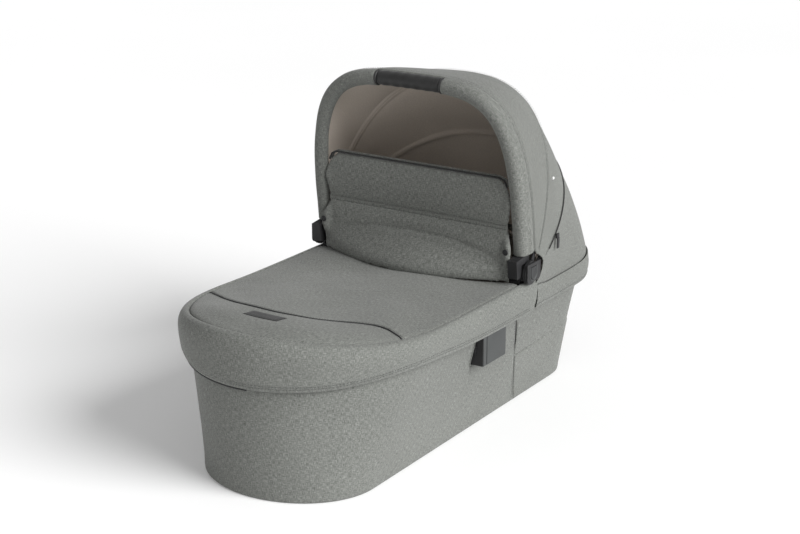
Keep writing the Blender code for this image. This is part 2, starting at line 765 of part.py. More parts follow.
def make_housing(side_name, side, material):
    """The forked hinge housing that stands on the rim."""
    foot = [
        (HINGE_INNER_X, HOUSING_FOOT_Z),
        (HOUSING_WEB_X, HOUSING_FOOT_Z),
        (HOUSING_WEB_X, HOUSING_WEB_TOP_Z),
        (ARM_INNER_X + ARM_PLATE + SLACK, HOUSING_WEB_TOP_Z),
        (ARM_INNER_X + ARM_PLATE + SLACK, HOUSING_FOOT_TOP_Z),
        (HINGE_INNER_X + HINGE_INNER_WALL, HOUSING_FOOT_TOP_Z),
        (HINGE_INNER_X + HINGE_INNER_WALL, HOUSING_WEB_TOP_Z),
        (HINGE_INNER_X, HOUSING_WEB_TOP_Z),
    ]
    low_y = PIVOT_Y - HOUSING_FOOT_DEPTH / 2
    builder = prism(foot, low_y, low_y + HOUSING_FOOT_DEPTH, lambda x, z, y: (side * x, y, z))
    housing = add_object(f"hinge_housing_{side_name}", builder, material)
    inner_wall = disc(side, HOUSING_RADIUS, HINGE_INNER_X, HINGE_INNER_X + HINGE_INNER_WALL)
    outer_wall = disc(side, HOUSING_RADIUS, ARM_INNER_X + ARM_PLATE + SLACK, HOUSING_OUTER_X)
    combine(housing, tool_from(f"inner_wall_{side_name}", inner_wall, housing), "UNION")
    combine(housing, tool_from(f"outer_wall_{side_name}", outer_wall, housing), "UNION")
    cover = prism(cover_outline(), HOUSING_OUTER_X - COVER_THICKNESS, HOUSING_OUTER_X + GAP, across_x(side))
    combine(housing, tool_from(f"cover_{side_name}", cover, housing), "UNION")
    bore = disc(side, PIN_RADIUS + GAP, HINGE_INNER_X - SLACK, pin_end() + GAP, TUBE_SIDES * 2)
    combine(housing, tool_from(f"housing_bore_{side_name}", bore, housing), "DIFFERENCE")
    pocket = prism(
        button_outline(GAP), button_floor(), HOUSING_OUTER_X + SLACK, across_x(side)
    )
    combine(housing, tool_from(f"button_pocket_{side_name}", pocket, housing), "DIFFERENCE")
    return housing


def cover_outline():
    """The cover plate's outline, a plate with its two lower corners rounded."""
    low_y = PIVOT_Y - COVER_FOOT_DEPTH
    high_y = PIVOT_Y + COVER_HEAD_DEPTH
    low_z = PIVOT_Z - COVER_LOW
    points = [(high_y, PIVOT_Z + COVER_HIGH), (low_y, PIVOT_Z + COVER_HIGH)]
    for centre, first in ((low_y + COVER_CORNER, pi), (high_y - COVER_CORNER, 1.5 * pi)):
        for step in range(TUBE_SIDES // 2 + 1):
            turn = first + pi * step / TUBE_SIDES
            points.append((centre + COVER_CORNER * cos(turn), low_z + COVER_CORNER * (1 + sin(turn))))
    return points


def button_floor():
    """How far out the button's pocket starts."""
    return HOUSING_OUTER_X + BUTTON_PROUD - BUTTON_DEPTH - BUTTON_TRAVEL - SLACK


def pin_end():
    """How far out the hinge pin reaches, short of the button's pocket."""
    return button_floor() - FABRIC


def button_outline(margin=0.0):
    """A button with a flat top and a round foot, like a broad U."""
    half = BUTTON_HALF_WIDTH + margin
    points = [(PIVOT_Y + half, PIVOT_Z + BUTTON_HALF_HEIGHT + margin)]
    points.append((PIVOT_Y - half, PIVOT_Z + BUTTON_HALF_HEIGHT + margin))
    lower = PIVOT_Z - BUTTON_HALF_HEIGHT + BUTTON_HALF_WIDTH
    for step in range(TUBE_SIDES + 1):
        turn = pi + pi * step / TUBE_SIDES
        points.append((PIVOT_Y + half * cos(turn), lower + half * sin(turn)))
    return points


def make_button(side_name, side, material):
    """The sprung release button in the housing's outer face."""
    outer_x = HOUSING_OUTER_X + BUTTON_PROUD
    place = pivot_place(side, outer_x)
    empty = joint_empty(f"button_slide_{side_name}", place)
    builder = prism(button_outline(), outer_x - BUTTON_DEPTH, outer_x, across_x(side))
    add_object(f"hinge_button_{side_name}", builder, material, empty)


def make_pin(side_name, side, material):
    """The steel pin through the housing and the arm."""
    builder = disc(side, PIN_RADIUS, HINGE_INNER_X, pin_end(), TUBE_SIDES * 2)
    add_object(f"hinge_pin_{side_name}", builder, material)


def lean(builder, degrees):
    """Tilt a bmesh back round the pivot line."""
    turn = Matrix.Rotation(-radians(degrees), 3, "X")
    bmesh.ops.rotate(
        builder, verts=builder.verts, cent=(0.0, PIVOT_Y, PIVOT_Z), matrix=turn
    )
    return builder


def make_arm(side_name, side, material, parent):
    """The front bow's plastic arm, which turns on the pin and holds the tube."""
    tilt = FRONT_BOW.tilt
    arm_outer = ARM_INNER_X + ARM_PLATE
    builder = disc(side, ARM_DISC_RADIUS, ARM_INNER_X, arm_outer)
    arm = add_object(f"hinge_arm_{side_name}", builder, material, parent)
    half_depth = COLUMN_DEPTH / 2
    neck_half = half_depth * 0.7
    neck = rectangle(PIVOT_Y - neck_half, PIVOT_Y + neck_half, PIVOT_Z, PIVOT_Z + COLUMN_END - SLACK)
    neck_builder = lean(prism(neck, ARM_INNER_X + GAP, arm_outer - GAP, across_x(side)), tilt)
    combine(arm, tool_from(f"arm_neck_{side_name}", neck_builder, arm), "UNION")
    column = rectangle(
        PIVOT_Y - half_depth, PIVOT_Y + half_depth, PIVOT_Z + COLUMN_START, PIVOT_Z + COLUMN_END
    )
    column_builder = lean(prism(column, COLUMN_INNER_X, COLUMN_OUTER_X, across_x(side)), tilt)
    combine(arm, tool_from(f"arm_column_{side_name}", column_builder, arm), "UNION")
    front = PIVOT_Y - COLUMN_FRONT_REACH
    clear = PIVOT_Y - HOUSING_RADIUS - SLACK
    top = PIVOT_Z + COLUMN_END
    shield = [
        (front, PIVOT_Z - COLUMN_SHIELD_LOW),
        (clear, PIVOT_Z - COLUMN_SHIELD_LOW),
        (clear, PIVOT_Z + COLUMN_START),
        (PIVOT_Y, PIVOT_Z + COLUMN_START),
        (PIVOT_Y, top),
        (front, top),
    ]
    shield_builder = lean(prism(shield, COLUMN_INNER_X + GAP, COLUMN_OUTER_X - GAP, across_x(side)), tilt)
    combine(arm, tool_from(f"arm_shield_{side_name}", shield_builder, arm), "UNION")
    bore = disc(side, PIN_RADIUS + PIN_CLEARANCE, ARM_INNER_X - SLACK, arm_outer + SLACK, TUBE_SIDES * 2)
    combine(arm, tool_from(f"arm_bore_{side_name}", bore, arm), "DIFFERENCE")
    socket_path = [
        on_arch(side * FRONT_BOW.half_width, COLUMN_START + SLACK, tilt),
        on_arch(side * FRONT_BOW.half_width, COLUMN_END + SLACK, tilt),
    ]
    rings = tube_rings(socket_path, FRONT_TUBE_RADIUS + GAP, TUBE_SIDES * 2, Vector((1.0, 0.0, 0.0)))
    combine(arm, tool_from(f"tube_socket_{side_name}", skin(rings), arm), "DIFFERENCE")


# ---------------------------------------------------------------- bows

def make_front_tube(material, parent):
    """The round tube of the front bow."""
    start = COLUMN_START + SLACK + GAP
    path = arch_path(FRONT_BOW, start, ARCH_STEPS + END_STEPS)
    normal = on_arch(0, 1, 90 + FRONT_BOW.tilt) - on_arch(0, 0, 0)
    rings = tube_rings(path, FRONT_TUBE_RADIUS, TUBE_SIDES, normal)
    add_object("front_bow_tube", skin(rings), material, parent)


def hollow_sleeve(name, path, radius, material, parent):
    """A soft tube round a stretch of the front bow."""
    normal = on_arch(0, 1, 90 + FRONT_BOW.tilt) - on_arch(0, 0, 0)
    outer = tube_rings(path, radius, TUBE_SIDES, normal)
    inner = tube_rings(path, FRONT_TUBE_RADIUS + GAP * 2, TUBE_SIDES, normal)
    return add_object(name, skin(outer + inner[::-1], closed=True), material, parent)


def bow_stretch(low_x, high_x, count):
    """Front bow points whose distance from the middle plane lies between two values."""
    fine = arch_path(FRONT_BOW, COLUMN_END + SLACK, 600)
    part = [point for point in fine if low_x <= point.x <= high_x]
    return resample(part, count)


def make_sleeves_and_handle(fabric, grip, trim, parent):
    """The fabric sleeves, the carry handle and its two collars."""
    edge = FRONT_BOW.half_width + SLACK
    sleeve_start = HANDLE_HALF_LENGTH + COLLAR_LENGTH + SLACK
    right_path = bow_stretch(sleeve_start, edge, ARCH_STEPS)
    left_path = bow_stretch(-edge, -sleeve_start, ARCH_STEPS)
    grip_path = bow_stretch(-HANDLE_HALF_LENGTH, HANDLE_HALF_LENGTH, SIDE_STEPS)
    hollow_sleeve("bow_sleeve_right", right_path, SLEEVE_RADIUS, fabric, parent)
    hollow_sleeve("bow_sleeve_left", left_path, SLEEVE_RADIUS, fabric, parent)
    hollow_sleeve("carry_handle", grip_path, HANDLE_RADIUS, grip, parent)
    for side_name, side in SIDES.items():
        ends = sorted((side * (HANDLE_HALF_LENGTH + SLACK / 2), side * (HANDLE_HALF_LENGTH + COLLAR_LENGTH)))
        path = bow_stretch(*ends, 3)
        hollow_sleeve(f"handle_collar_{side_name}", path, HANDLE_RADIUS + SLACK, trim, parent)


def bar_rings(arch, bar_x):
    """Rectangles along a flat hood bar that follows an arch."""
    inner_arch = arch._replace(
        half_width=bar_x, height=arch.height - HOOD_FABRIC - BAR_DROP - BAR_THICKNESS / 2
    )
    path = arch_path(inner_arch, HOUSING_RADIUS + FABRIC, ARCH_STEPS + 10)
    turn = radians(arch.tilt)
    normal = Vector((0.0, cos(turn), -sin(turn)))
    rings = []
    for index, point in enumerate(path):
        before = path[max(index - 1, 0)]
        after = path[min(index + 1, len(path) - 1)]
        along = (after - before).normalized()
        if index in (0, len(path) - 1):
            along = Vector((0.0, along.y, along.z)).normalized()
        out = along.cross(normal).normalized() * (BAR_THICKNESS / 2)
        wide = normal * (BAR_WIDTH / 2)
        rings.append([point + out + wide, point + out - wide, point - out - wide, point - out + wide])
    return rings


def make_bar(name, arch, bar_x, material, parent):
    """A flat hood bar with a ring at each end that turns on the hinge housing."""
    bar = add_object(name, skin(bar_rings(arch, bar_x)), material, parent)
    half = BAR_THICKNESS / 2
    for side_name, side in SIDES.items():
        ring = disc(side, BAR_RING_OUTER, bar_x - half, bar_x + half)
        combine(bar, tool_from(f"{name}_ring_{side_name}", ring, bar), "UNION")
    for side_name, side in SIDES.items():
        hole = disc(side, HOUSING_RADIUS + GAP, bar_x - BAR_THICKNESS, bar_x + BAR_THICKNESS)
        combine(bar, tool_from(f"{name}_hole_{side_name}", hole, bar), "DIFFERENCE")


# ---------------------------------------------------------------- hood fabric

def make_hood(fabric, lining, rear, middle, front):
    """Outer fabric and lining between the bows."""
    half_slit = SEAM_SLIT / 2
    stretches = (
        ("rear", turned(REAR_ARCH, half_slit), RIM_ARCH, 0.0, rear),
        ("middle", turned(MIDDLE_ARCH, half_slit), turned(REAR_ARCH, -half_slit), 0.0, middle),
        ("front", FRONT_EDGE, turned(MIDDLE_ARCH, -half_slit), FRONT_PANEL_SHIFT, front),
    )
    for name, first, second, shift, parent in stretches:
        panel(f"hood_{name}", edge_of(first, 0.0, shift), edge_of(second), fabric, parent)
        panel(
            f"lining_{name}",
            edge_of(first, LINING_DROP, shift),
            edge_of(second, LINING_DROP),
            lining,
            parent,
        )


def make_hood_zip(material, parent):
    """The zip tape that lies on the hood behind the rear bow."""
    first = turned(REAR_ARCH, SEAM_SLIT)
    second = turned(REAR_ARCH, SEAM_SLIT + HOOD_ZIP_WIDTH)
    lift = HOOD_FABRIC + GAP * 2
    rings = []
    count = ARCH_STEPS + 1
    raised = [arch_path(arch, HOOD_ZIP_START, count, -lift) for arch in (first, second)]
    seated = [arch_path(arch, HOOD_ZIP_START, count, -GAP * 4) for arch in (first, second)]
    for index in range(count):
        rings.append([raised[0][index], raised[1][index], seated[1][index], seated[0][index]])
    add_object("hood_zip", skin(rings), material, parent)


def make_zip_pull(material, parent):
    """The hood zip's pull tab, hanging from its top."""
    place = Vector((PULL_X, PULL_Y, PULL_Z))
    empty = joint_empty("zip_pull_swing", place, parent)
    outline = rectangle(PULL_Y - PULL_WIDTH / 2, PULL_Y + PULL_WIDTH / 2, PULL_Z - PULL_LENGTH, PULL_Z)
    builder = prism(outline, PULL_X, PULL_X + PULL_THICKNESS, across_x(1.0))
    add_object("hood_zip_pull", builder, material, empty)


# ---------------------------------------------------------------- skirt, band and apron

def band(name, half, start, top_height, material):
    """A band of fabric from the hem up to the rim seam."""
    outer = [half(oval, start) for oval in (HEM, BULGE, RIM)]
    inner = [half(inset(oval, SKIRT_WALL), start) for oval in (RIM, BULGE, HEM)]
    rings = []
    for index, (_, y) in enumerate(outer[0]):
        low = hem_z(y)
        high = top_height(y)
        levels = [low, low + (high - low) * BULGE_SHARE, high]
        ring = [(*line[index], z) for line, z in zip(outer, levels)]
        ring += [(*line[index], z) for line, z in zip(inner, reversed(levels))]
        rings.append(ring)
    return add_object(name, skin(rings), material)


def apron_z(x, y):
    """Height of the apron's upper face."""
    across = 1.0 - min(abs(x) / RIM.half_width, 1.0) ** 2
    along = min(max(y / RIM.foot, 0.0), 1.0)
    fullness = APRON_CROWN + FOOT_CROWN * along
    return rim_z(y) + fullness * across * (1.0 - along ** FOOT_CROWN_POWER)


def zip_y(x):
    """Where the foot zip crosses the apron, on a smooth curve through the points of its line."""
    x *= ZIP_LINE_HALF_WIDTH / RIM.half_width
    x = min(max(x, ZIP_LINE[0][0]), ZIP_LINE[-1][0])
    index = max(i for i in range(len(ZIP_LINE) - 1) if ZIP_LINE[i][0] <= x)
    x1, y1 = ZIP_LINE[index]
    x2, y2 = ZIP_LINE[index + 1]
    x0, y0 = ZIP_LINE[max(index - 1, 0)]
    x3, y3 = ZIP_LINE[min(index + 2, len(ZIP_LINE) - 1)]
    slope_1 = (y2 - y0) / (x2 - x0)
    slope_2 = (y3 - y1) / (x3 - x1)
    share = (x - x1) / (x2 - x1)
    rise = y2 - y1
    run = x2 - x1
    blend = share * share * (3 - 2 * share)
    ease = share * (1 - share)
    return y1 + rise * blend + run * ease * (slope_1 * (1 - share) - slope_2 * share)


def flap_foot_y(x):
    """Where the wind flap stands on the apron."""
    share = min(abs(x) / FLAP_FOOT_HALF, 1.0)
    return FLAP_SIDE_Y - FLAP_BOW * (1.0 - share ** 2)


def apron_half_width(y):
    """Half the apron's width at a place along its length."""
    edge = inset(RIM, SKIRT_WALL + LID_MARGIN)
    depth = (edge.foot + edge.foot_round - y) / edge.foot_round
    share = min(max(depth, 0.0), 1.0)
    return edge.half_width * (1.0 - share ** edge.foot_power) ** (1.0 / edge.foot_power)


def middle_of(outline):
    """The mean of an outline's points."""
    count = len(outline)
    return sum(x for x, _ in outline) / count, sum(y for _, y in outline) / count


def lid(name, outline, centre, material, thickness=APRON_THICKNESS, lift=0.0):
    """A thin sheet over an outline that its centre can see, with its upper face on the apron."""
    centre_x, centre_y = centre
    upper = []
    lower = []
    for scale in LID_RINGS:
        ring = [
            (centre_x + (x - centre_x) * scale, centre_y + (y - centre_y) * scale)
            for x, y in outline
        ]
        upper.append([(x, y, apron_z(x, y) + lift) for x, y in ring])
        lower.append([(x, y, apron_z(x, y) + lift - thickness) for x, y in ring])
    return add_object(name, skin(upper[::-1] + lower), material)


def cross_line(line, low_x, high_x, steps):
    """Points of a line across the apron, from one x to another."""
    xs = [low_x + (high_x - low_x) * step / steps for step in range(steps + 1)]
    return [(x, line(x)) for x in xs]


def side_line(from_y, to_y, side):
    """Points between two places along the apron's right or left edge."""
    ys = [from_y + (to_y - from_y) * step / SIDE_STEPS for step in range(1, SIDE_STEPS)]
    return [(side * apron_half_width(y), y) for y in ys]


def make_apron(fabric, zip_material, patch_material):
    """The apron's top in two parts, its zip and its blank patch."""
    edge = inset(RIM, SKIRT_WALL + LID_MARGIN)
    head_line = lambda x: flap_foot_y(x) + FLAP_THICKNESS / 2
    half_zip = ZIP_WIDTH / 2
    beside = half_zip + GAP * 2
    left_x = -apron_half_width(ZIP_LINE[0][1])
    right_x = apron_half_width(ZIP_LINE[-1][1])
    main = cross_line(head_line, -edge.half_width, edge.half_width, END_STEPS)
    main += side_line(FLAP_SIDE_Y, zip_y(right_x) + beside, 1.0)
    main += cross_line(lambda x: zip_y(x) + beside, right_x, left_x, END_STEPS)
    main += side_line(zip_y(left_x) + beside, FLAP_SIDE_Y, -1.0)
    lid("apron_top", main, middle_of(main), fabric)
    foot = cross_line(lambda x: zip_y(x) - beside, left_x, right_x, END_STEPS)
    for x, y in foot_half(edge, 0.0):
        if y < zip_y(x) - beside - SLACK * 2:
            foot.append((x, y))
    lid("apron_foot", foot, (0.0, FOOT_LID_CENTRE_Y), fabric)
    zip_x = min(right_x, -left_x) - SLACK
    zip_rings = []
    for x, y in cross_line(zip_y, -zip_x, zip_x, END_STEPS):
        top = apron_z(x, y) - SLACK
        low = top - APRON_THICKNESS / 2
        foot_side = y - half_zip
        head_side = y + half_zip
        zip_rings.append([(x, foot_side, low), (x, head_side, low), (x, head_side, top), (x, foot_side, top)])
    add_object("foot_zip", skin(zip_rings), zip_material)
    patch = rectangle(-PATCH_HALF_WIDTH, PATCH_HALF_WIDTH, PATCH_FOOT_Y, PATCH_HEAD_Y)
    lid("apron_patch", patch, middle_of(patch), patch_material, PATCH_THICKNESS, PATCH_THICKNESS + SLACK)


# ---------------------------------------------------------------- wind flap

def flap_ring(z, half_width, front_y):
    """One level of the flap: its front face, then its back face."""
    front = []
    back = []
    for step in range(END_STEPS + 1):
        x = half_width * (2 * step / END_STEPS - 1)
        y = front_y(x)
        front.append((x, y, z))
        back.append((x, y + FLAP_THICKNESS, z))
    return front + back[::-1]


def make_flap(fabric, trim, lower_parent, upper_parent):
    """The two panels of the wind flap, its piping and its snaps."""
    fold_gap = FABRIC / 2
    fold_front = lambda x: FLAP_FOLD_Y - FLAP_THICKNESS / 2
    foot_front = lambda x: flap_foot_y(x) - FLAP_THICKNESS / 2
    middle_front = lambda x: fold_front(x) * FLAP_LEAN_SHARE + foot_front(x) * (1 - FLAP_LEAN_SHARE)
    lower = [
        flap_ring(FLAP_FOOT_Z, FLAP_FOOT_HALF, foot_front),
        flap_ring((FLAP_FOOT_Z + SNAP_Z) / 2, FLAP_SNAP_HALF, middle_front),
        flap_ring(SNAP_Z - SNAP_RADIUS * 2, FLAP_SNAP_HALF, fold_front),
        flap_ring(FLAP_FOLD_Z - fold_gap, FLAP_FOLD_HALF, fold_front),
    ]
    add_object("flap_lower", skin(lower), fabric, lower_parent)
    upper = [
        flap_ring(FLAP_FOLD_Z + fold_gap, FLAP_FOLD_HALF, fold_front),
        flap_ring(FLAP_POINT_Z, FLAP_POINT_HALF, fold_front),
        flap_ring(FLAP_TOP_Z - FLAP_THICKNESS, FLAP_TOP_HALF, fold_front),
        flap_ring(FLAP_TOP_Z, FLAP_TOP_HALF, fold_front),
    ]
    add_object("flap_upper", skin(upper), fabric, upper_parent)
    piping = [
        Vector((-FLAP_TOP_HALF, FLAP_FOLD_Y, FLAP_TOP_Z + FLAP_PIPING_RADIUS + GAP)),
        Vector((FLAP_TOP_HALF, FLAP_FOLD_Y, FLAP_TOP_Z + FLAP_PIPING_RADIUS + GAP)),
    ]
    rings = tube_rings(piping, FLAP_PIPING_RADIUS, TUBE_SIDES, Vector((0.0, 0.0, 1.0)))
    add_object("flap_piping", skin(rings), trim, upper_parent)
    front = FLAP_FOLD_Y - FLAP_THICKNESS / 2 - GAP
    for side_name, side in SIDES.items():
        outline = circle(SNAP_RADIUS, TUBE_SIDES * 2, (side * (FLAP_SNAP_HALF - SNAP_INSET), SNAP_Z))
        rings = [[(x, y, z) for x, z in outline] for y in (front - SNAP_PROUD, front)]
        add_object(f"flap_snap_{side_name}", skin(rings), trim, lower_parent)


# ---------------------------------------------------------------- assembly

def main():
    """Build every sub-part."""
    clear_scene()
    outer_fabric = make_material("melange_fabric", (0.22, 0.23, 0.21), 0.9)
    lining_fabric = make_material("lining_fabric", (0.11, 0.09, 0.07), 0.9)
    inner_fabric = make_material("liner_fabric", (0.30, 0.29, 0.27), 0.9)
    black_plastic = make_material("black_plastic", (0.02, 0.02, 0.02), 0.5)
    grey_plastic = make_material("grey_plastic", (0.07, 0.075, 0.075), 0.5)
    rubber = make_material("rubber", (0.03, 0.03, 0.03), 0.8)
    board = make_material("board", (0.35, 0.30, 0.22), 0.7)
    foam = make_material("mattress_cover", (0.75, 0.74, 0.70), 0.9)
    aluminium = make_material("aluminium", (0.60, 0.60, 0.60), 0.35, 1.0)
    steel = make_material("steel", (0.45, 0.45, 0.45), 0.3, 1.0)
    leatherette = make_material("leatherette", (0.03, 0.03, 0.03), 0.55)
    black_trim = make_material("black_trim", (0.02, 0.02, 0.02), 0.7)

    make_feet(rubber)
    make_tray(black_plastic)
    make_floor_board(board)
    make_liner(inner_fabric)
    make_mattress(foam)
    cut_windows(make_wall("body_fabric_foot", foot_half, outer_fabric))
    make_wall("body_fabric_head", head_half, outer_fabric)
    make_rim_tube(aluminium)
    make_stays(steel)

    pivot = (0.0, PIVOT_Y, PIVOT_Z)
    rear_bow = joint_empty("rear_bow_pivot", pivot)
    middle_bow = joint_empty("middle_bow_pivot", pivot, rear_bow)
    front_bow = joint_empty("front_bow_pivot", pivot, middle_bow)
    for side_name, side in SIDES.items():
        make_side_frame(side_name, side, black_plastic)
        make_adapter(side_name, side, grey_plastic, black_plastic)
        make_housing(side_name, side, black_plastic)
        make_button(side_name, side, grey_plastic)
        make_pin(side_name, side, steel)
        make_arm(side_name, side, black_plastic, front_bow)
    make_front_tube(aluminium, front_bow)
    make_sleeves_and_handle(outer_fabric, leatherette, black_trim, front_bow)
    make_bar("middle_bow_bar", MIDDLE_ARCH, MIDDLE_BAR_X, black_plastic, middle_bow)
    make_bar("rear_bow_bar", REAR_ARCH, REAR_BAR_X, black_plastic, rear_bow)
    make_hood(outer_fabric, lining_fabric, rear_bow, middle_bow, front_bow)
    make_hood_zip(black_trim, rear_bow)
    make_zip_pull(black_plastic, rear_bow)

    band("apron_skirt", foot_half, BODY_SPLIT_Y - BAND_SLIT / 2, rim_z, outer_fabric)
    band("rear_band", head_half, BODY_SPLIT_Y + BAND_SLIT / 2, lambda y: REAR_RIM_Z, outer_fabric)
    make_apron(outer_fabric, black_trim, black_trim)
    flap_hinge = joint_empty("flap_lower_hinge", (0.0, FLAP_HINGE_Y, FLAP_FOOT_Z))
    fold_hinge = joint_empty(
        "flap_upper_hinge", (0.0, FLAP_FOLD_Y - FLAP_THICKNESS / 2 - SLACK, FLAP_FOLD_Z), flap_hinge
    )
    make_flap(outer_fabric, black_trim, flap_hinge, fold_hinge)


main()
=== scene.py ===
"""A baby stroller's carrycot: its cloth, padding and trim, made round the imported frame.

All sizes are in metres. +Z is up, +Y runs to the head end and +X is the right side.
"""

import logging
from collections.abc import Callable, Sequence
from dataclasses import dataclass, field
from enum import Enum
from math import asin, atan2, cos, exp, hypot, pi, radians, sin, sqrt

import bmesh
import bpy
from mathutils import Matrix, Vector, noise


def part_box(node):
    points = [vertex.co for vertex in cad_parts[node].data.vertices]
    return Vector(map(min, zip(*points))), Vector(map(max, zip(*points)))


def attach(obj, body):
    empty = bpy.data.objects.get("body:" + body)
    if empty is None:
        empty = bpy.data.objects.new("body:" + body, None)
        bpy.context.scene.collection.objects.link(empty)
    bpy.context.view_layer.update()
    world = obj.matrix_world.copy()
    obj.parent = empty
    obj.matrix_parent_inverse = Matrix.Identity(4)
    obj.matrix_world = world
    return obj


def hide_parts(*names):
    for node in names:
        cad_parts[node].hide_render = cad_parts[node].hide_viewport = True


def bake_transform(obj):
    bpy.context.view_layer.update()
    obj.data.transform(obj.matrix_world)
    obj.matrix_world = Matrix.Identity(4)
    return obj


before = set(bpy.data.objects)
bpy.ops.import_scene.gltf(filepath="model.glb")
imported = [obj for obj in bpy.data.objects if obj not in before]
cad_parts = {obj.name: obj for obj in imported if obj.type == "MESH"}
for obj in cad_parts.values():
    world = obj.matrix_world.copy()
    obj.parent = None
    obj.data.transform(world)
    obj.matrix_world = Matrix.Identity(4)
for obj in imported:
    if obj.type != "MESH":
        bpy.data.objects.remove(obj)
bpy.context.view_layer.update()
LOG = logging.getLogger("carrycot")
CLOTH_MAP = "ClothMap"
SHARP_DEGREES = 28.0      # edges of the frame's nodes that turn more than this are broken
WELD_DISTANCE = 0.00002   # joins the frame nodes' loose triangles
SIDES = {"right": 1.0, "left": -1.0}

Row = list[Vector]
Pair = tuple[float, float]
Triple = tuple[float, float, float]
Shade = Triple


# ---------------------------------------------------------------- numbers and lines

def mix(first: float, second: float, share: float) -> float:
    """A number that lies a share of the way from the first to the second."""
    return first + (second - first) * share


def eased(value: float) -> float:
    """A share held between 0 and 1 that starts and ends softly."""
    value = min(max(value, 0.0), 1.0)
    return value * value * (3.0 - 2.0 * value)


def running(points: Sequence[Vector]) -> list[float]:
    """The length along a line at each of its points."""
    total = [0.0]
    for before, after in zip(points, points[1:]):
        total.append(total[-1] + (after - before).length)
    return total


def even(points: Sequence[Vector], count: int) -> Row:
    """Points evenly spaced along a line.

    Args:
        points: The line's own points.
        count: How many points come back.

    Returns:
        The new points, with the line's two ends among them.
    """
    total = running(points)
    result = []
    index = 0
    for step in range(count):
        target = total[-1] * step / (count - 1)
        while index < len(points) - 2 and total[index + 1] < target:
            index += 1
        span = max(total[index + 1] - total[index], 1e-12)
        result.append(points[index].lerp(points[index + 1], (target - total[index]) / span))
    return result


def smooth_line(points: Sequence[Sequence[float]], steps: int = 12) -> Row:
    """A smooth curve through a few points."""
    ends = [Vector(point) for point in points]
    ends = [ends[0] * 2 - ends[1], *ends, ends[-1] * 2 - ends[-2]]
    line = []
    for a, b, c, d in zip(ends, ends[1:], ends[2:], ends[3:]):
        for step in range(steps):
            t = step / steps
            line.append(
                (b * 2 + (c - a) * t + (a * 2 - b * 5 + c * 4 - d) * t * t
                 + (b * 3 - a - c * 3 + d) * t * t * t) / 2
            )
    line.append(ends[-2])
    return line


def ripple(point: Vector, size: float, depth: float) -> float:
    """How far a loose cloth stands off its pattern at a place."""
    return noise.noise(point / size) * depth


@dataclass(frozen=True)
class Waves:
    """The broad and the fine waves of a loose cloth, each with its size and depth."""

    broad: Pair
    fine: Pair
    shift: Triple

    def at(self, place: Vector) -> float:
        """How far the cloth stands off its pattern at a place."""
        return ripple(place, *self.broad) + ripple(place + Vector(self.shift), *self.fine)


def power_point(angle: float, power: float) -> Pair:
    """A point on the unit superellipse."""
    across = abs(cos(angle)) ** (2 / power)
    along = abs(sin(angle)) ** (2 / power)
    return (across if cos(angle) >= 0 else -across), along


def outwards(row: Sequence[Vector], index: int) -> Vector:
    """The level direction square to a row of places, away from the cot's middle."""
    along = row[min(index + 1, len(row) - 1)] - row[max(index - 1, 0)]
    out = Vector((along.y, -along.x, 0.0)).normalized()
    here = row[index]
    return out if out.x * here.x + out.y * here.y >= 0 else -out


@dataclass(frozen=True)
class Oval:
    """A plan outline with straight sides and two round ends."""

    half_width: float
    foot: float
    head: float
    foot_round: float
    head_round: float
    foot_power: float = 2.0
    head_power: float = 2.5

    def inset(self, distance: float) -> "Oval":
        """The same outline moved inwards all round."""
        return Oval(
            self.half_width - distance,
            self.foot + distance,
            self.head - distance,
            self.foot_round - distance / 2,
            self.head_round - distance / 2,
            self.foot_power,
            self.head_power,
        )

    def mixed(self, other: "Oval", share: float) -> "Oval":
        """The outline that lies a share of the way to another."""
        mine = (self.half_width, self.foot, self.head, self.foot_round, self.head_round,
                self.foot_power, self.head_power)
        its = (other.half_width, other.foot, other.head, other.foot_round, other.head_round,
               other.foot_power, other.head_power)
        return Oval(*(mix(a, b, share) for a, b in zip(mine, its)))

    def foot_line(self, start_y: float, count: int) -> Row:
        """Even points from the right side round the foot to the left side."""
        straight = self.foot + self.foot_round
        line = [Vector((self.half_width, start_y, 0.0))]
        for step in range(181):
            across, along = power_point(pi * step / 180, self.foot_power)
            line.append(Vector((self.half_width * across, straight - self.foot_round * along, 0.0)))
        line.append(Vector((-self.half_width, start_y, 0.0)))
        return even(line, count)

    def head_line(self, start_y: float, count: int) -> Row:
        """Even points from the left side round the head to the right side."""
        straight = self.head - self.head_round
        line = [Vector((-self.half_width, start_y, 0.0))]
        for step in range(181):
            across, along = power_point(pi * step / 180, self.head_power)
            line.append(Vector((-self.half_width * across, straight + self.head_round * along, 0.0)))
        line.append(Vector((self.half_width, start_y, 0.0)))
        return even(line, count)

    def half_line(self, head: bool, start_y: float, count: int) -> Row:
        """Even points round the head half or the foot half."""
        return self.head_line(start_y, count) if head else self.foot_line(start_y, count)

    def whole_line(self, count: int) -> Row:
        """Even points once round, with the first one repeated at the end."""
        line = self.foot_line(0.0, count) + self.head_line(0.0, count)[1:]
        return even(line, count)

    def reach(self, x: float, y: float) -> float:
        """0 in the middle and 1 on the outline, on its foot half."""
        across = abs(x) / self.half_width
        straight = self.foot + self.foot_round
        if y >= straight:
            return across
        along = (straight - y) / self.foot_round
        return (across ** self.foot_power + along ** self.foot_power) ** (1 / self.foot_power)

    def half_width_at(self, y: float) -> float:
        """Half the width at a place along the foot half."""
        along = min(max((self.foot + self.foot_round - y) / self.foot_round, 0.0), 1.0)
        return self.half_width * (1.0 - along ** self.foot_power) ** (1.0 / self.foot_power)

    def foot_edge(self, x: float) -> float:
        """Where the outline's foot end lies at a distance from the middle."""
        across = min(abs(x) / self.half_width, 1.0)
        along = (1.0 - across ** self.foot_power) ** (1.0 / self.foot_power)
        return self.foot + self.foot_round * (1.0 - along)


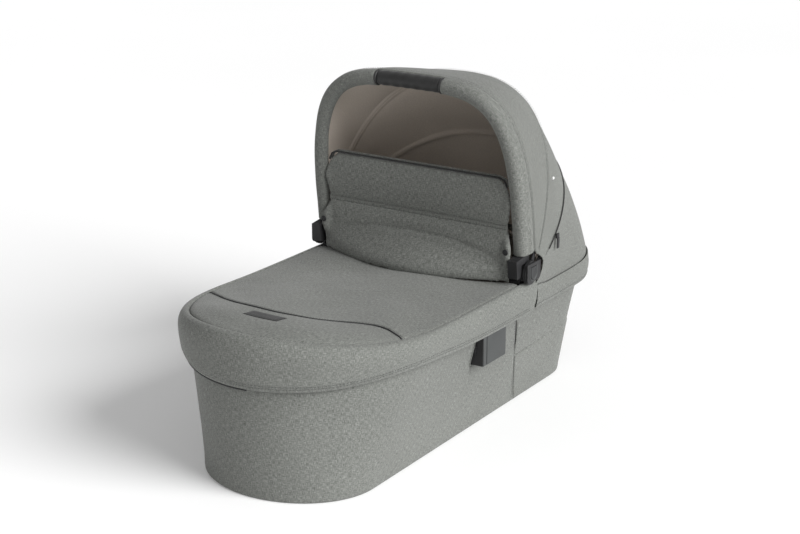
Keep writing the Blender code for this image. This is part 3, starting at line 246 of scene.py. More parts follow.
@dataclass(frozen=True)
class Arch:
    """A hood bow: a superellipse that stands on the pivot line and leans back by degrees."""

    tilt: float
    half_width: float
    height: float
    power: float
    shift: float = 0.0
    pivot_y: float = 0.110
    pivot_z: float = 0.273

    def leaned(self, degrees: float) -> "Arch":
        """The same bow leaning further back."""
        return Arch(self.tilt + degrees, self.half_width, self.height, self.power, self.shift)

    def normal(self) -> Vector:
        """The direction square to the bow's plane, towards the head."""
        turn = radians(self.tilt)
        return Vector((0.0, cos(turn), -sin(turn)))

    def spot(self, x: float, reach: float) -> Vector:
        """The place at a distance from the middle and from the pivot line."""
        turn = radians(self.tilt)
        place = Vector((x, self.pivot_y + reach * sin(turn), self.pivot_z + reach * cos(turn)))
        return place + self.normal() * self.shift

    def path(self, count: int, inwards: float = 0.0, start: float = 0.034) -> Row:
        """Even points over the bow from the right side to the left.

        Args:
            count: How many points come back.
            inwards: How far inside the bow the line runs.
            start: How far above the pivot line it starts.

        Returns:
            The points.
        """
        width = self.half_width - inwards
        height = self.height - inwards
        first = asin(min((start / height) ** (self.power / 2), 1.0))
        line = []
        for step in range(361):
            across, along = power_point(first + (pi - 2 * first) * step / 360, self.power)
            line.append(self.spot(width * across, height * along))
        return even(line, count)


def over_bows(first: Vector, second: Vector, share: float, fullness: float, pivot: Arch) -> Vector:
    """A place between two bows, part straight and part round the pivot line."""
    reaches = []
    turns = []
    for point in (first, second):
        reaches.append(hypot(point.y - pivot.pivot_y, point.z - pivot.pivot_z))
        turns.append(atan2(point.y - pivot.pivot_y, point.z - pivot.pivot_z))
    reach = mix(*reaches, share)
    turn = mix(*turns, share)
    straight = first.lerp(second, share)
    full = Vector((straight.x, pivot.pivot_y + reach * sin(turn), pivot.pivot_z + reach * cos(turn)))
    return straight.lerp(full, fullness)


@dataclass(frozen=True)
class CotLines:
    """The carrycot's own lines: its outlines, rim, hem, apron and zip."""

    base: Oval = Oval(0.158, -0.416, 0.415, 0.133, 0.10)
    belly: Oval = Oval(0.200, -0.433, 0.433, 0.22, 0.14)
    wall_top: Oval = Oval(0.204, -0.418, 0.420, 0.22, 0.155, 2.1)
    hem: Oval = Oval(0.219, -0.443, 0.444, 0.25, 0.16)
    fullest: Oval = Oval(0.222, -0.447, 0.447, 0.235, 0.165, 2.05)
    rim: Oval = Oval(0.2125, -0.430, 0.432, 0.27, 0.175, 2.2)
    belly_z: float = 0.20
    zip_points: tuple[Pair, ...] = (
        (-0.206, -0.240), (-0.130, -0.288), (-0.068, -0.314), (-0.010, -0.320),
        (0.050, -0.306), (0.100, -0.272), (0.145, -0.250), (0.206, -0.262),
    )

    def rim_z(self, y: float) -> float:
        """Height of the rim seam, which climbs towards the foot."""
        return 0.255 + 0.036 * min(max(y / -0.447, 0.0), 1.0) ** 3

    def hem_z(self, y: float) -> float:
        """Height of the skirt's hem."""
        return 0.196 + 0.014 * exp(-(((y + 0.25) / 0.14) ** 2))

    def wall(self, z: float) -> Oval:
        """Outside of the body's cover at a height."""
        return self.base.mixed(self.belly, (max(z, 0.0) / self.belly_z) ** 1.25)

    def apron_z(self, x: float, y: float) -> float:
        """Height of the apron."""
        across = 1.0 - min(abs(x) / self.rim.half_width, 1.0) ** 2
        along = min(max(y / self.rim.foot, 0.0), 1.0)
        return self.rim_z(y) + (0.003 + 0.020 * along) * across * (1.0 - along ** 8)

    def zip_y(self, x: float) -> float:
        """Where the foot zip crosses the apron."""
        points = self.zip_points
        x = min(max(x, points[0][0]), points[-1][0])
        index = max(i for i in range(len(points) - 1) if points[i][0] <= x)
        (x1, y1), (x2, y2) = points[index], points[index + 1]
        x0, y0 = points[max(index - 1, 0)]
        x3, y3 = points[min(index + 2, len(points) - 1)]
        t = (x - x1) / (x2 - x1)
        pull = (y2 - y0) / (x2 - x0) * (1 - t) - (y3 - y1) / (x3 - x1) * t
        return y1 + (y2 - y1) * t * t * (3 - 2 * t) + (x2 - x1) * t * (1 - t) * pull

    def flap_foot_y(self, x: float) -> float:
        """Where the wind flap stands on the apron."""
        return 0.087 - 0.052 * (1.0 - min(abs(x) / 0.185, 1.0) ** 2)


# ---------------------------------------------------------------- making meshes

def shade_smooth(item: bpy.types.Object) -> None:
    """Shade every face of a mesh smooth."""
    item.data.polygons.foreach_set("use_smooth", [True] * len(item.data.polygons))


def add_item(name: str, builder: bmesh.types.BMesh) -> bpy.types.Object:
    """Turn a bmesh into a smooth object in its own place."""
    mesh = bpy.data.meshes.new(name)
    builder.to_mesh(mesh)
    builder.free()
    item = bpy.data.objects.new(name, mesh)
    shade_smooth(item)
    bpy.context.scene.collection.objects.link(item)
    return item


def turn_from(builder: bmesh.types.BMesh, inside: Vector) -> None:
    """Make an open sheet's faces point away from a place."""
    builder.normal_update()
    facing = sum(face.normal.dot(face.calc_center_median() - inside) for face in builder.faces)
    if facing < 0:
        bmesh.ops.reverse_faces(builder, faces=builder.faces)


def settle(item: bpy.types.Object) -> bpy.types.Object:
    """Make an object's modifiers part of its mesh."""
    bpy.context.view_layer.update()
    graph = bpy.context.evaluated_depsgraph_get()
    shaped = item.evaluated_get(graph)
    mesh = bpy.data.meshes.new_from_object(shaped, preserve_all_data_layers=True, depsgraph=graph)
    old = item.data
    item.modifiers.clear()
    item.data = mesh
    bpy.data.meshes.remove(old)
    mesh.name = item.name
    return item


def turn_over(item: bpy.types.Object) -> None:
    """Turn an open sheet to face the other way."""
    builder = bmesh.new()
    builder.from_mesh(item.data)
    bmesh.ops.reverse_faces(builder, faces=builder.faces)
    builder.to_mesh(item.data)
    builder.free()


def close_ends(item: bpy.types.Object, sides: int = 0) -> None:
    """Fill a mesh's open ends of up to so many sides, or of any with 0, and face it outwards."""
    builder = bmesh.new()
    builder.from_mesh(item.data)
    open_edges = [edge for edge in builder.edges if edge.is_boundary]
    if open_edges:
        bmesh.ops.holes_fill(builder, edges=open_edges, sides=sides)
    bmesh.ops.recalc_face_normals(builder, faces=builder.faces)
    builder.to_mesh(item.data)
    builder.free()
    shade_smooth(item)


def thicken(item: bpy.types.Object, thickness: float) -> bpy.types.Object:
    """Give a sheet its thickness, behind its face."""
    layer = item.modifiers.new("cloth_thickness", "SOLIDIFY")
    layer.thickness = thickness
    layer.offset = -1.0
    return settle(item)


def refine(item: bpy.types.Object, levels: int = 1) -> bpy.types.Object:
    """Subdivide a mesh smoothly."""
    finer = item.modifiers.new("finer", "SUBSURF")
    finer.levels = levels
    finer.render_levels = levels
    return settle(item)


def lay_cloth(
    name: str,
    rows: Sequence[Row],
    inside: Vector | None = None,
    joined: bool = False,
) -> bpy.types.Object:
    """Lay a flat grid of cloth over rows of places, with a map of its threads in metres.

    Args:
        name: The piece's name.
        rows: The rows of places, all of one length.
        inside: A place behind the cloth, for an open sheet.
        joined: Whether places that coincide are sewn together.

    Returns:
        The new object.
    """
    columns = len(rows[0]) - 1
    count = len(rows) - 1
    builder = bmesh.new()
    bmesh.ops.create_grid(builder, x_segments=columns, y_segments=count, size=0.5)
    threads = builder.loops.layers.uv.new(CLOTH_MAP)
    across = running(rows[count // 2])
    up = running([row[columns // 2] for row in rows])
    spots = {
        vert: (round((vert.co.x + 0.5) * columns), round((vert.co.y + 0.5) * count))
        for vert in builder.verts
    }
    for face in builder.faces:
        for loop in face.loops:
            column, row = spots[loop.vert]
            loop[threads].uv = (across[column], up[row])
    for vert, (column, row) in spots.items():
        vert.co = rows[row][column]
    if joined:
        bmesh.ops.remove_doubles(builder, verts=builder.verts, dist=2e-6)
    if inside is None:
        bmesh.ops.recalc_face_normals(builder, faces=builder.faces)
    else:
        turn_from(builder, inside)
    return add_item(name, builder)


def cord(
    name: str,
    path: Sequence[Vector],
    radius: float | Callable[[float], float],
    sides: int = 8,
    flat: float = 1.0,
    hint: Vector | None = None,
) -> bpy.types.Object:
    """A round or flattened cord along a path, closed at both ends.

    Args:
        name: The piece's name.
        path: The points of its middle line. A loop repeats its first point.
        radius: Its radius, or the radius at a share of its length.
        sides: How many sides its section has.
        flat: Its thickness square to the hint, as a share of its width.
        hint: The direction that its width follows.

    Returns:
        The new object.
    """
    loop = (path[0] - path[-1]).length < 1e-6
    width_of = radius if callable(radius) else (lambda share: radius)
    side = hint or Vector((0.31, 0.17, 0.93))
    rows = []
    for index, point in enumerate(path):
        before = path[index - 1] if index else (path[-2] if loop else point)
        after = path[index + 1] if index < len(path) - 1 else (path[1] if loop else point)
        along = (after - before).normalized()
        base = hint or side
        side = (base - along * base.dot(along)).normalized()
        up = along.cross(side)
        width = width_of(index / (len(path) - 1))
        rows.append([
            point + side * (width * cos(turn)) + up * (width * flat * sin(turn))
            for turn in (2 * pi * step / sides for step in range(sides + 1))
        ])
    if loop:
        rows[-1] = [point.copy() for point in rows[0]]
    item = lay_cloth(name, rows, joined=True)
    close_ends(item, sides)
    return item


@dataclass(frozen=True)
class Thread:
    """Sewing thread: how long its stitches are and how far apart."""

    stitch: float = 0.0042
    gap: float = 0.0018
    width: float = 0.0009

    def sew(self, name: str, paths: Sequence[Sequence[Vector]]) -> bpy.types.Object:
        """Sew rows of stitches along paths, as one piece."""
        builder = bmesh.new()
        for path in paths:
            length = running(path)[-1]
            count = max(int(length / (self.stitch + self.gap)), 2)
            marks = even(path, count + 1)
            for before, after in zip(marks, marks[1:]):
                along = after - before
                turn = along.to_track_quat("X", "Z").to_matrix().to_4x4()
                size = Matrix.Diagonal((self.stitch / 2, self.width / 2, self.width / 2, 1.0))
                place = Matrix.Translation((before + after) / 2) @ turn @ size
                bmesh.ops.create_icosphere(builder, subdivisions=1, radius=1.0, matrix=place)
        return add_item(name, builder)


def block(
    name: str,
    low: Sequence[float],
    high: Sequence[float],
    rounding: float,
    segments: int = 3,
) -> bpy.types.Object:
    """A moulded block between two corners, with its edges rounded."""
    builder = bmesh.new()
    size = [b - a for a, b in zip(low, high)]
    middle = Vector([(a + b) / 2 for a, b in zip(low, high)])
    place = Matrix.Translation(middle) @ Matrix.Diagonal((*size, 1.0))
    bmesh.ops.create_cube(builder, size=1.0, matrix=place)
    if rounding > 0:
        bmesh.ops.bevel(
            builder, geom=builder.edges, offset=rounding, offset_type="OFFSET",
            segments=segments, profile=0.5, affect="EDGES", material=-1,
        )
    bmesh.ops.recalc_face_normals(builder, faces=builder.faces)
    return add_item(name, builder)


def map_flat(item: bpy.types.Object, across: int, up: int) -> None:
    """Map a mesh's threads straight from two of its directions."""
    mesh = item.data
    threads = mesh.uv_layers.get(CLOTH_MAP) or mesh.uv_layers.new(name=CLOTH_MAP)
    for loop in mesh.loops:
        place = mesh.vertices[loop.vertex_index].co
        threads.data[loop.index].uv = (place[across], place[up])


@dataclass(frozen=True)
class Stuffing:
    """Padding that swells a sewn cover from inside."""

    voxel: float = 0.004
    pressure: float = 4.0
    cap: float = 0.005
    frames: int = 20

    def swell(self, item: bpy.types.Object, held: Callable[[Vector], bool]) -> bpy.types.Object:
        """Blow a closed cover up a little and keep the folds that it makes.

        Args:
            item: The closed cover.
            held: Whether a place is sewn down, and stays.

        Returns:
            The same object with its new mesh.
        """
        remesh = item.modifiers.new("even_cloth", "REMESH")
        remesh.mode = "VOXEL"
        remesh.voxel_size = self.voxel
        settle(item)
        rest = [vert.co.copy() for vert in item.data.vertices]
        self.simulate(item, rest, held)
        shade_smooth(item)
        return refine(item)

    def simulate(self, item: bpy.types.Object, rest: Row, held: Callable[[Vector], bool]) -> None:
        """Run the cloth and write back where it comes to rest."""
        group = item.vertex_groups.new(name="sewn")
        group.add([index for index, place in enumerate(rest) if held(place)], 1.0, "REPLACE")
        cloth = item.modifiers.new("swelling", "CLOTH")
        cloth.settings.quality = 5
        cloth.settings.mass = 0.3
        cloth.settings.use_pressure = True
        cloth.settings.uniform_pressure_force = self.pressure
        cloth.settings.vertex_group_mass = group.name
        cloth.settings.effector_weights.gravity = 0.0
        cloth.point_cache.frame_start = 1
        cloth.point_cache.frame_end = self.frames
        scene = bpy.context.scene
        for step in range(1, self.frames + 1):
            scene.frame_set(step)
        shaped = item.evaluated_get(bpy.context.evaluated_depsgraph_get())
        moved = [vert.co.copy() for vert in shaped.data.vertices]
        item.modifiers.clear()
        scene.frame_set(1)
        for vert, start, end in zip(item.data.vertices, rest, moved):
            move = end - start
            if move.length > self.cap:
                move *= self.cap / move.length
            vert.co = start + move


# ---------------------------------------------------------------- finishes

class Board:
    """A material's nodes, with short ways to add and join them."""

    def __init__(self, name: str) -> None:
        """Start a material with its shader."""
        self.material = bpy.data.materials.new(name)
        self.material.use_nodes = True
        self.tree = self.material.node_tree
        self.shader = self.tree.nodes["Principled BSDF"]

    def add(self, kind: str, **settings: object) -> bpy.types.Node:
        """Add a node and set its properties."""
        node = self.tree.nodes.new(f"ShaderNode{kind}")
        for name, value in settings.items():
            setattr(node, name, value)
        return node

    def join(self, source: bpy.types.NodeSocket, target: bpy.types.NodeSocket) -> None:
        """Link one socket to another."""
        self.tree.links.new(source, target)

    def scaled(self, output: str, scale: Sequence[float]) -> bpy.types.NodeSocket:
        """Texture coordinates stretched by a scale."""
        places = self.add("TexCoord")
        mapping = self.add("Mapping")
        mapping.inputs["Scale"].default_value = scale
        self.join(places.outputs[output], mapping.inputs["Vector"])
        return mapping.outputs[0]

    def clouds(
        self, places: bpy.types.NodeSocket, scale: float, detail: float = 2.0
    ) -> bpy.types.NodeSocket:
        """Soft noise at a scale."""
        texture = self.add("TexNoise")
        texture.inputs["Scale"].default_value = scale
        texture.inputs["Detail"].default_value = detail
        texture.inputs["Roughness"].default_value = 0.6
        self.join(places, texture.inputs["Vector"])
        return texture.outputs[0]

    def waves(self, places: bpy.types.NodeSocket, direction: str, pitch: float) -> bpy.types.NodeSocket:
        """Even ridges at a pitch in metres."""
        texture = self.add("TexWave", bands_direction=direction)
        texture.inputs["Scale"].default_value = 0.314159 / pitch
        self.join(places, texture.inputs["Vector"])
        return texture.outputs[1]

    def sum_of(
        self,
        operation: str,
        first: bpy.types.NodeSocket,
        second: bpy.types.NodeSocket | float,
    ) -> bpy.types.NodeSocket:
        """The result of arithmetic on two values."""
        node = self.add("Math", operation=operation)
        self.join(first, node.inputs[0])
        if isinstance(second, float):
            node.inputs[1].default_value = second
        else:
            self.join(second, node.inputs[1])
        return node.outputs[0]

    def ramp(
        self, value: bpy.types.NodeSocket, stops: Sequence[tuple[float, Shade]]
    ) -> bpy.types.NodeSocket:
        """Colours along a value."""
        node = self.add("ValToRGB")
        elements = node.color_ramp.elements
        while len(elements) < len(stops):
            elements.new(0.5)
        for element, (position, shade) in zip(elements, stops):
            element.position = position
            element.color = (*shade, 1.0)
        self.join(value, node.inputs[0])
        return node.outputs[0]

    def spread(self, value: bpy.types.NodeSocket, low: float, high: float) -> bpy.types.NodeSocket:
        """A value from 0.3 to 0.7 spread over another range."""
        node = self.add("MapRange")
        for name, number in (("From Min", 0.3), ("From Max", 0.7), ("To Min", low), ("To Max", high)):
            node.inputs[name].default_value = number
        self.join(value, node.inputs["Value"])
        return node.outputs[0]

    def tinted(self, color: bpy.types.NodeSocket, value: bpy.types.NodeSocket) -> bpy.types.NodeSocket:
        """A colour made darker or lighter by a value near 1."""
        node = self.add("Mix", data_type="RGBA", blend_type="MULTIPLY")
        node.inputs[0].default_value = 1.0
        self.join(color, node.inputs[6])
        self.join(value, node.inputs[7])
        return node.outputs[2]

    def emboss(self, height: bpy.types.NodeSocket, strength: float, distance: float) -> None:
        """Raise the surface by a height."""
        node = self.add("Bump")
        node.inputs["Strength"].default_value = strength
        node.inputs["Distance"].default_value = distance
        self.join(height, node.inputs["Height"])
        self.join(node.outputs[0], self.shader.inputs["Normal"])

    def set_shader(self, **values: float) -> None:
        """Set constants on the shader's own sockets."""
        for name, value in values.items():
            self.shader.inputs[name.replace("_", " ")].default_value = value


@dataclass(frozen=True)
class WovenCloth:
    """Cloth woven from mixed dark and light yarns."""

    name: str
    slot: str
    dark: Shade
    middle: Shade
    light: Shade
    yarn: float = 0.0011
    slub: float = 0.0065
    pitch: float = 0.0012
    relief: float = 0.35
    contrast: float = 0.13
    sheen: float = 0.25
    rough: Pair = (0.84, 0.96)

    def make(self) -> bpy.types.Material:
        """Build the cloth's nodes."""
        board = Board(self.name)
        warp = board.clouds(board.scaled("UV", (1 / self.yarn, 1 / self.slub, 1.0)), 1.0)
        weft = board.clouds(board.scaled("UV", (1 / self.slub, 1 / self.yarn, 1.0)), 1.0)
        yarns = board.sum_of("MULTIPLY", board.sum_of("ADD", warp, weft), 0.5)
        shades = board.ramp(
            yarns,
            ((0.5 - self.contrast, self.dark), (0.5, self.middle), (0.5 + self.contrast, self.light)),
        )
        places = board.scaled("Object", (1.0, 1.0, 1.0))
        fading = board.spread(board.clouds(places, 7.0), 0.95, 1.05)
        board.join(board.tinted(shades, fading), board.shader.inputs["Base Color"])
        threads = board.scaled("UV", (1.0, 1.0, 1.0))
        ribs = [board.waves(threads, direction, self.pitch) for direction in "XY"]
        weave = board.sum_of("MULTIPLY", *ribs)
        height = board.sum_of("ADD", board.sum_of("MULTIPLY", weave, 0.5), yarns)
        board.emboss(height, self.relief, 0.0006)
        board.join(board.spread(yarns, *self.rough), board.shader.inputs["Roughness"])
        board.set_shader(Sheen_Weight=self.sheen, Sheen_Roughness=0.45, Specular_IOR_Level=0.25)
        return board.material


@dataclass(frozen=True)
class GrainedSkin:
    """Leatherette with a fine pebble grain."""

    name: str
    slot: str
    shade: Shade
    grain: float = 0.0013
    relief: float = 0.5
    rough: Pair = (0.42, 0.62)

    def make(self) -> bpy.types.Material:
        """Build the grain's nodes."""
        board = Board(self.name)
        places = board.scaled("Object", (1.0, 1.0, 1.0))
        pebbles = board.add("TexVoronoi", feature="F1")
        pebbles.inputs["Scale"].default_value = 1.0 / self.grain
        board.join(places, pebbles.inputs["Vector"])
        wear = board.clouds(places, 60.0, 3.0)
        tone = board.ramp(wear, ((0.3, self.shade), (0.7, tuple(c * 1.5 + 0.004 for c in self.shade))))
        board.join(tone, board.shader.inputs["Base Color"])
        board.emboss(board.sum_of("ADD", pebbles.outputs[0], wear), self.relief, 0.0004)
        board.join(board.spread(wear, *self.rough), board.shader.inputs["Roughness"])
        board.set_shader(Specular_IOR_Level=0.4, Sheen_Weight=0.1, Sheen_Roughness=0.5)
        return board.material


class Grain(Enum):
    """How a hard material's surface is textured."""

    MOULDED = "moulded"
    DRAWN = "drawn"
    SAWN = "sawn"


@dataclass(frozen=True)
class HardStuff:
    """Plastic, rubber, metal or board with its surface texture."""

    name: str
    slot: str
    shade: Shade
    grain: Grain = Grain.MOULDED
    metallic: float = 0.0
    relief: float = 0.15
    rough: Pair = (0.42, 0.58)

    def stretch(self) -> Shade:
        """How much finer the texture is along each direction."""
        if self.grain is Grain.DRAWN:
            return (900.0, 900.0, 60.0)
        if self.grain is Grain.SAWN:
            return (260.0, 18.0, 260.0)
        return (1100.0, 1100.0, 1100.0)

    def make(self) -> bpy.types.Material:
        """Build the surface's nodes."""
        board = Board(self.name)
        fine = board.clouds(board.scaled("Object", self.stretch()), 1.0, 3.0)
        broad = board.clouds(board.scaled("Object", (1.0, 1.0, 1.0)), 25.0)
        dull = tuple(c * 0.86 for c in self.shade)
        worn = tuple(min(c * 1.14 + 0.004, 1.0) for c in self.shade)
        wear = board.sum_of("MULTIPLY", board.sum_of("ADD", fine, broad), 0.5)
        tone = board.ramp(wear, ((0.4, dull), (0.6, worn)))
        board.join(tone, board.shader.inputs["Base Color"])
        board.emboss(fine, self.relief, 0.0002)
        board.join(board.spread(broad, *self.rough), board.shader.inputs["Roughness"])
        board.set_shader(Metallic=self.metallic)
        return board.material


Finish = WovenCloth | GrainedSkin | HardStuff

MELANGE = WovenCloth(
    "grey_melange", "melange_fabric", (0.060, 0.063, 0.057), (0.138, 0.143, 0.132), (0.27, 0.277, 0.262),
    yarn=0.0008, slub=0.0075, contrast=0.17, relief=0.22, sheen=0.15,
)
LINING = WovenCloth(
    "taupe_lining", "lining_fabric", (0.54, 0.475, 0.415), (0.63, 0.560, 0.490), (0.70, 0.63, 0.555),
    yarn=0.0007, slub=0.004, pitch=0.0008, relief=0.2, sheen=0.15,
)
INNER = WovenCloth(
    "inner_jersey", "liner_fabric", (0.22, 0.21, 0.195), (0.29, 0.28, 0.26), (0.36, 0.35, 0.33),
    yarn=0.001, slub=0.003, relief=0.3,
)
KNIT = WovenCloth(
    "mattress_knit", "mattress_cover", (0.62, 0.61, 0.57), (0.72, 0.71, 0.67), (0.80, 0.79, 0.75),
    yarn=0.0014, slub=0.003, pitch=0.0020, relief=0.5,
)
TRIM = WovenCloth(
    "black_braid", "black_trim", (0.010, 0.010, 0.010), (0.016, 0.016, 0.016), (0.030, 0.030, 0.029),
    yarn=0.0008, slub=0.003, pitch=0.0012, relief=0.6, rough=(0.6, 0.85),
)
YARN = WovenCloth(
    "grey_thread", "melange_fabric", (0.060, 0.063, 0.058), (0.092, 0.096, 0.089), (0.14, 0.145, 0.135),
    yarn=0.0005, slub=0.002, relief=0.4,
)
GRIP = GrainedSkin("black_leatherette", "leatherette", (0.010, 0.010, 0.010))
LABEL = GrainedSkin("label_skin", "black_trim", (0.014, 0.014, 0.014), grain=0.0009, rough=(0.5, 0.7))
BLACK = HardStuff("black_moulding", "black_plastic", (0.010, 0.010, 0.011), rough=(0.5, 0.66))
GREY = HardStuff("grey_moulding", "grey_plastic", (0.040, 0.043, 0.043), rough=(0.55, 0.7))
DIM = HardStuff("dark_moulding", "grey_plastic", (0.016, 0.017, 0.018), rough=(0.5, 0.66))
SOLE = HardStuff("rubber_foot", "rubber", (0.022, 0.022, 0.022), rough=(0.75, 0.9))
TUBE = HardStuff("drawn_tube", "aluminium", (0.62, 0.62, 0.62), Grain.DRAWN, 1.0, 0.1, (0.28, 0.42))
STEEL = HardStuff("plated_steel", "steel", (0.48, 0.48, 0.47), Grain.DRAWN, 1.0, 0.1, (0.25, 0.38))
PLY = HardStuff("thin_board", "board", (0.36, 0.27, 0.17), Grain.SAWN, 0.0, 0.3, (0.6, 0.8))
WHITE_TAG = WovenCloth(
    "white_tape", "mattress_cover", (0.70, 0.70, 0.69), (0.8, 0.8, 0.79), (0.86, 0.86, 0.85),
)


class Wardrobe:
    """Makes each finish once and puts it on pieces."""

    def __init__(self) -> None:
        """Start with no finish made."""
        self.made: dict[str, bpy.types.Material] = {}

    def of(self, finish: Finish) -> bpy.types.Material:
        """The material of a finish."""
        if finish.name not in self.made:
            self.made[finish.name] = finish.make()
        return self.made[finish.name]

    def dress(
        self,
        item: bpy.types.Object,
        finish: Finish,
        body: str | None,
        *nodes: str,
    ) -> bpy.types.Object:
        """Finish a new piece, hide the frame's nodes that it stands for and let it ride on a body.

        Args:
            item: The piece.
            finish: What it is made of.
            body: The body that it rides on, or None for a piece that rides on no body.
            nodes: The frame's nodes that it stands for.

        Returns:
            The same piece.
        """
        item.data.materials.clear()
        item.data.materials.append(self.of(finish))
        if nodes:
            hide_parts(*nodes)
        if body:
            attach(item, body)
        faces = len(item.data.polygons)
        LOG.info("%s: %s, %d faces, on %s", item.name, finish.name, faces, body or "two bodies")
        return item

    def repaint(self, name: str, finish: Finish, rounding: float = 0.0005) -> None:
        """Finish a frame node where it stands, with its edges broken."""
        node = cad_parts[name]
        for place in node.material_slots:
            place.material = self.of(finish)
        shade_smooth(node)
        weld = node.modifiers.new("joined", "WELD")
        weld.merge_threshold = WELD_DISTANCE
        if rounding:
            edge = node.modifiers.new("broken_edges", "BEVEL")
            edge.width = rounding
            edge.segments = 2
            edge.limit_method = "ANGLE"
            edge.angle_limit = radians(SHARP_DEGREES)
        node.modifiers.new("even_shading", "WEIGHTED_NORMAL").keep_sharp = False
        LOG.info("%s: %s", name, finish.name)


# ---------------------------------------------------------------- sub-assemblies

@dataclass
class BodyCover:
    """The fabric walls of the cot, in a foot part and a head part."""

    lines: CotLines
    wardrobe: Wardrobe
    seam_bottom: float = 0.174
    seam_top: float = 0.106
    pocket_z: float = 0.101
    thickness: float = 0.0016
    columns: int = 170
    window: tuple[float, float, float, float] = (-0.0285, 0.0525, 0.1365, 0.1985)
    window_rounding: float = 0.003
    seam_gap: float = 0.0012
    gape_width: float = 0.0052
    gape_z: float = 0.150
    gape_reach: float = 0.032
    base_roll: tuple[Pair, ...] = (
        (0.0042, 0.0070), (0.0012, 0.0045), (0.0006, 0.0022), (0.0026, 0.0004), (0.0070, 0.0),
    )
    crease_rows: tuple[float, ...] = (-0.006, -0.0022, -0.0009, 0.0, 0.0009, 0.0022, 0.006)
    crease_depth: float = 0.0030
    crease_width: float = 0.0012
    waves: Waves = Waves((0.11, 0.0016), (0.035, 0.0004), (3.0, 1.0, 2.0))

    def heights(self, pocket: bool) -> list[Pair]:
        """Heights of the wall's rows, each with its inset, from the base up."""
        rows = [(0.014 + 0.0129 * step, 0.0) for step in range(15)]
        if pocket:
            rows = [row for row in rows if abs(row[0] - self.pocket_z) > 0.008]
            rows = sorted(rows + [(self.pocket_z + shift, 0.0) for shift in self.crease_rows])
        return [*self.base_roll, *rows]

    def seam_y(self, z: float) -> float:
        """Where the side seam runs at a height."""
        return mix(self.seam_bottom, self.seam_top, min(z / self.lines.belly_z, 1.0))

    def gape(self, z: float) -> float:
        """How far the head part's edge stands away from the seam."""
        return self.seam_gap + self.gape_width * exp(-(((z - self.gape_z) / self.gape_reach) ** 4))

    def stand_off(self, point: Vector, pocket: bool) -> float:
        """How far the cloth stands off its pattern."""
        off = self.waves.at(point)
        if pocket:
            rise = point.z - self.pocket_z - 0.004 * eased((point.y - 0.20) / 0.12)
            off += 0.0007 if rise < 0 else -0.0003
            off -= self.crease_depth * exp(-((rise / self.crease_width) ** 2))
        return off * min(point.z / 0.03, 1.0)

    def pushed(self, row: Row, pocket: bool) -> Row:
        """A level row of places moved out by the cloth's stand-off."""
        return [
            point + outwards(row, index) * self.stand_off(point, pocket)
            for index, point in enumerate(row)
        ]

    def rows(self, head: bool) -> list[Row]:
        """The rows of one part of the wall."""
        lines = self.lines
        result = []
        for z, inset in self.heights(head):
            start = self.seam_y(z) + (self.gape(z) if head else 0.0)
            oval = lines.wall(z).inset(inset)
            line = oval.half_line(head, start, self.columns)
            result.append(self.pushed([Vector((p.x, p.y, z)) for p in line], head))
        for share in (0.35, 0.7, 1.0):
            oval = lines.belly.mixed(lines.wall_top, share)
            line = oval.half_line(head, self.seam_top + (self.seam_gap if head else 0.0), self.columns)
            result.append([
                Vector((p.x, p.y, mix(lines.belly_z, lines.rim_z(p.y) - 0.014, share))) for p in line
            ])
        return result

    def cut_windows(self, wall: bpy.types.Object) -> None:
        """Cut the windows that the chassis adapters stand out of."""
        foot_y, head_y, low_z, high_z = self.window
        tool = block("window_tool", (-0.3, foot_y, low_z), (0.3, head_y, high_z), self.window_rounding)
        cut = wall.modifiers.new("windows", "BOOLEAN")
        cut.operation = "DIFFERENCE"
        cut.object = tool
        cut.solver = "EXACT"
        settle(wall)
        bpy.data.objects.remove(tool)

    def window_edge(self, side: float) -> Row:
        """The bound edge round one window."""
        foot_y, head_y, low_z, high_z = self.window
        corners = [(foot_y, high_z + 0.006), (foot_y, low_z + 0.004), (foot_y + 0.004, low_z)]
        corners += [(head_y - 0.004, low_z), (head_y, low_z + 0.004), (head_y, high_z + 0.006)]
        path = []
        for (y1, z1), (y2, z2) in zip(corners, corners[1:]):
            for step in range(10):
                y, z = mix(y1, y2, step / 10), mix(z1, z2, step / 10)
                path.append(Vector((side * (self.lines.wall(z).half_width - 0.0004), y, z)))
        return even(path, 60)

    def side_seam(self, side: float, shift: float) -> Row:
        """A line down the wall beside the side seam."""
        path = []
        for step in range(40):
            z = mix(0.192, 0.006, step / 39)
            x = side * (self.lines.wall(z).half_width + 0.0004)
            path.append(Vector((x, self.seam_y(z) + shift, z)))
        return path

    def build(self) -> None:
        """Make both parts of the wall and their sewing."""
        dress = self.wardrobe.dress
        inside = Vector((0.0, 0.0, 0.12))
        foot = thicken(lay_cloth("foot_wall_cloth", self.rows(False), inside), self.thickness)
        self.cut_windows(foot)
        dress(foot, MELANGE, "root", "body_fabric_foot")
        head = thicken(lay_cloth("head_wall_cloth", self.rows(True), inside), self.thickness)
        dress(head, MELANGE, "root", "body_fabric_head")
        base = [Vector((p.x, p.y, 0.0030)) for p in self.lines.base.inset(0.0026).whole_line(240)]
        dress(cord("base_binding", base, 0.0019, 8), TRIM, "root")
        for name, side in SIDES.items():
            dress(cord(f"window_hem_{name}", self.window_edge(side), 0.0011), MELANGE, "root")
            # Painted shade: a thin black sheet just inside each side seam's gap stands in for the shade
            # that fills the gap.
            painted_seam_shade = [
                [p + Vector((-side * 0.0030, width, 0.0)) for width in (-0.004, 0.003, 0.010)]
                for p in self.side_seam(side, 0.0)
            ]
            dress(thicken(lay_cloth(f"seam_shadow_{name}", painted_seam_shade, inside), 0.0006), TRIM, "root")
        sewn = [self.side_seam(side, -0.0045) for side in SIDES.values()]
        dress(Thread(width=0.0007).sew("wall_stitches", sewn), YARN, "root")


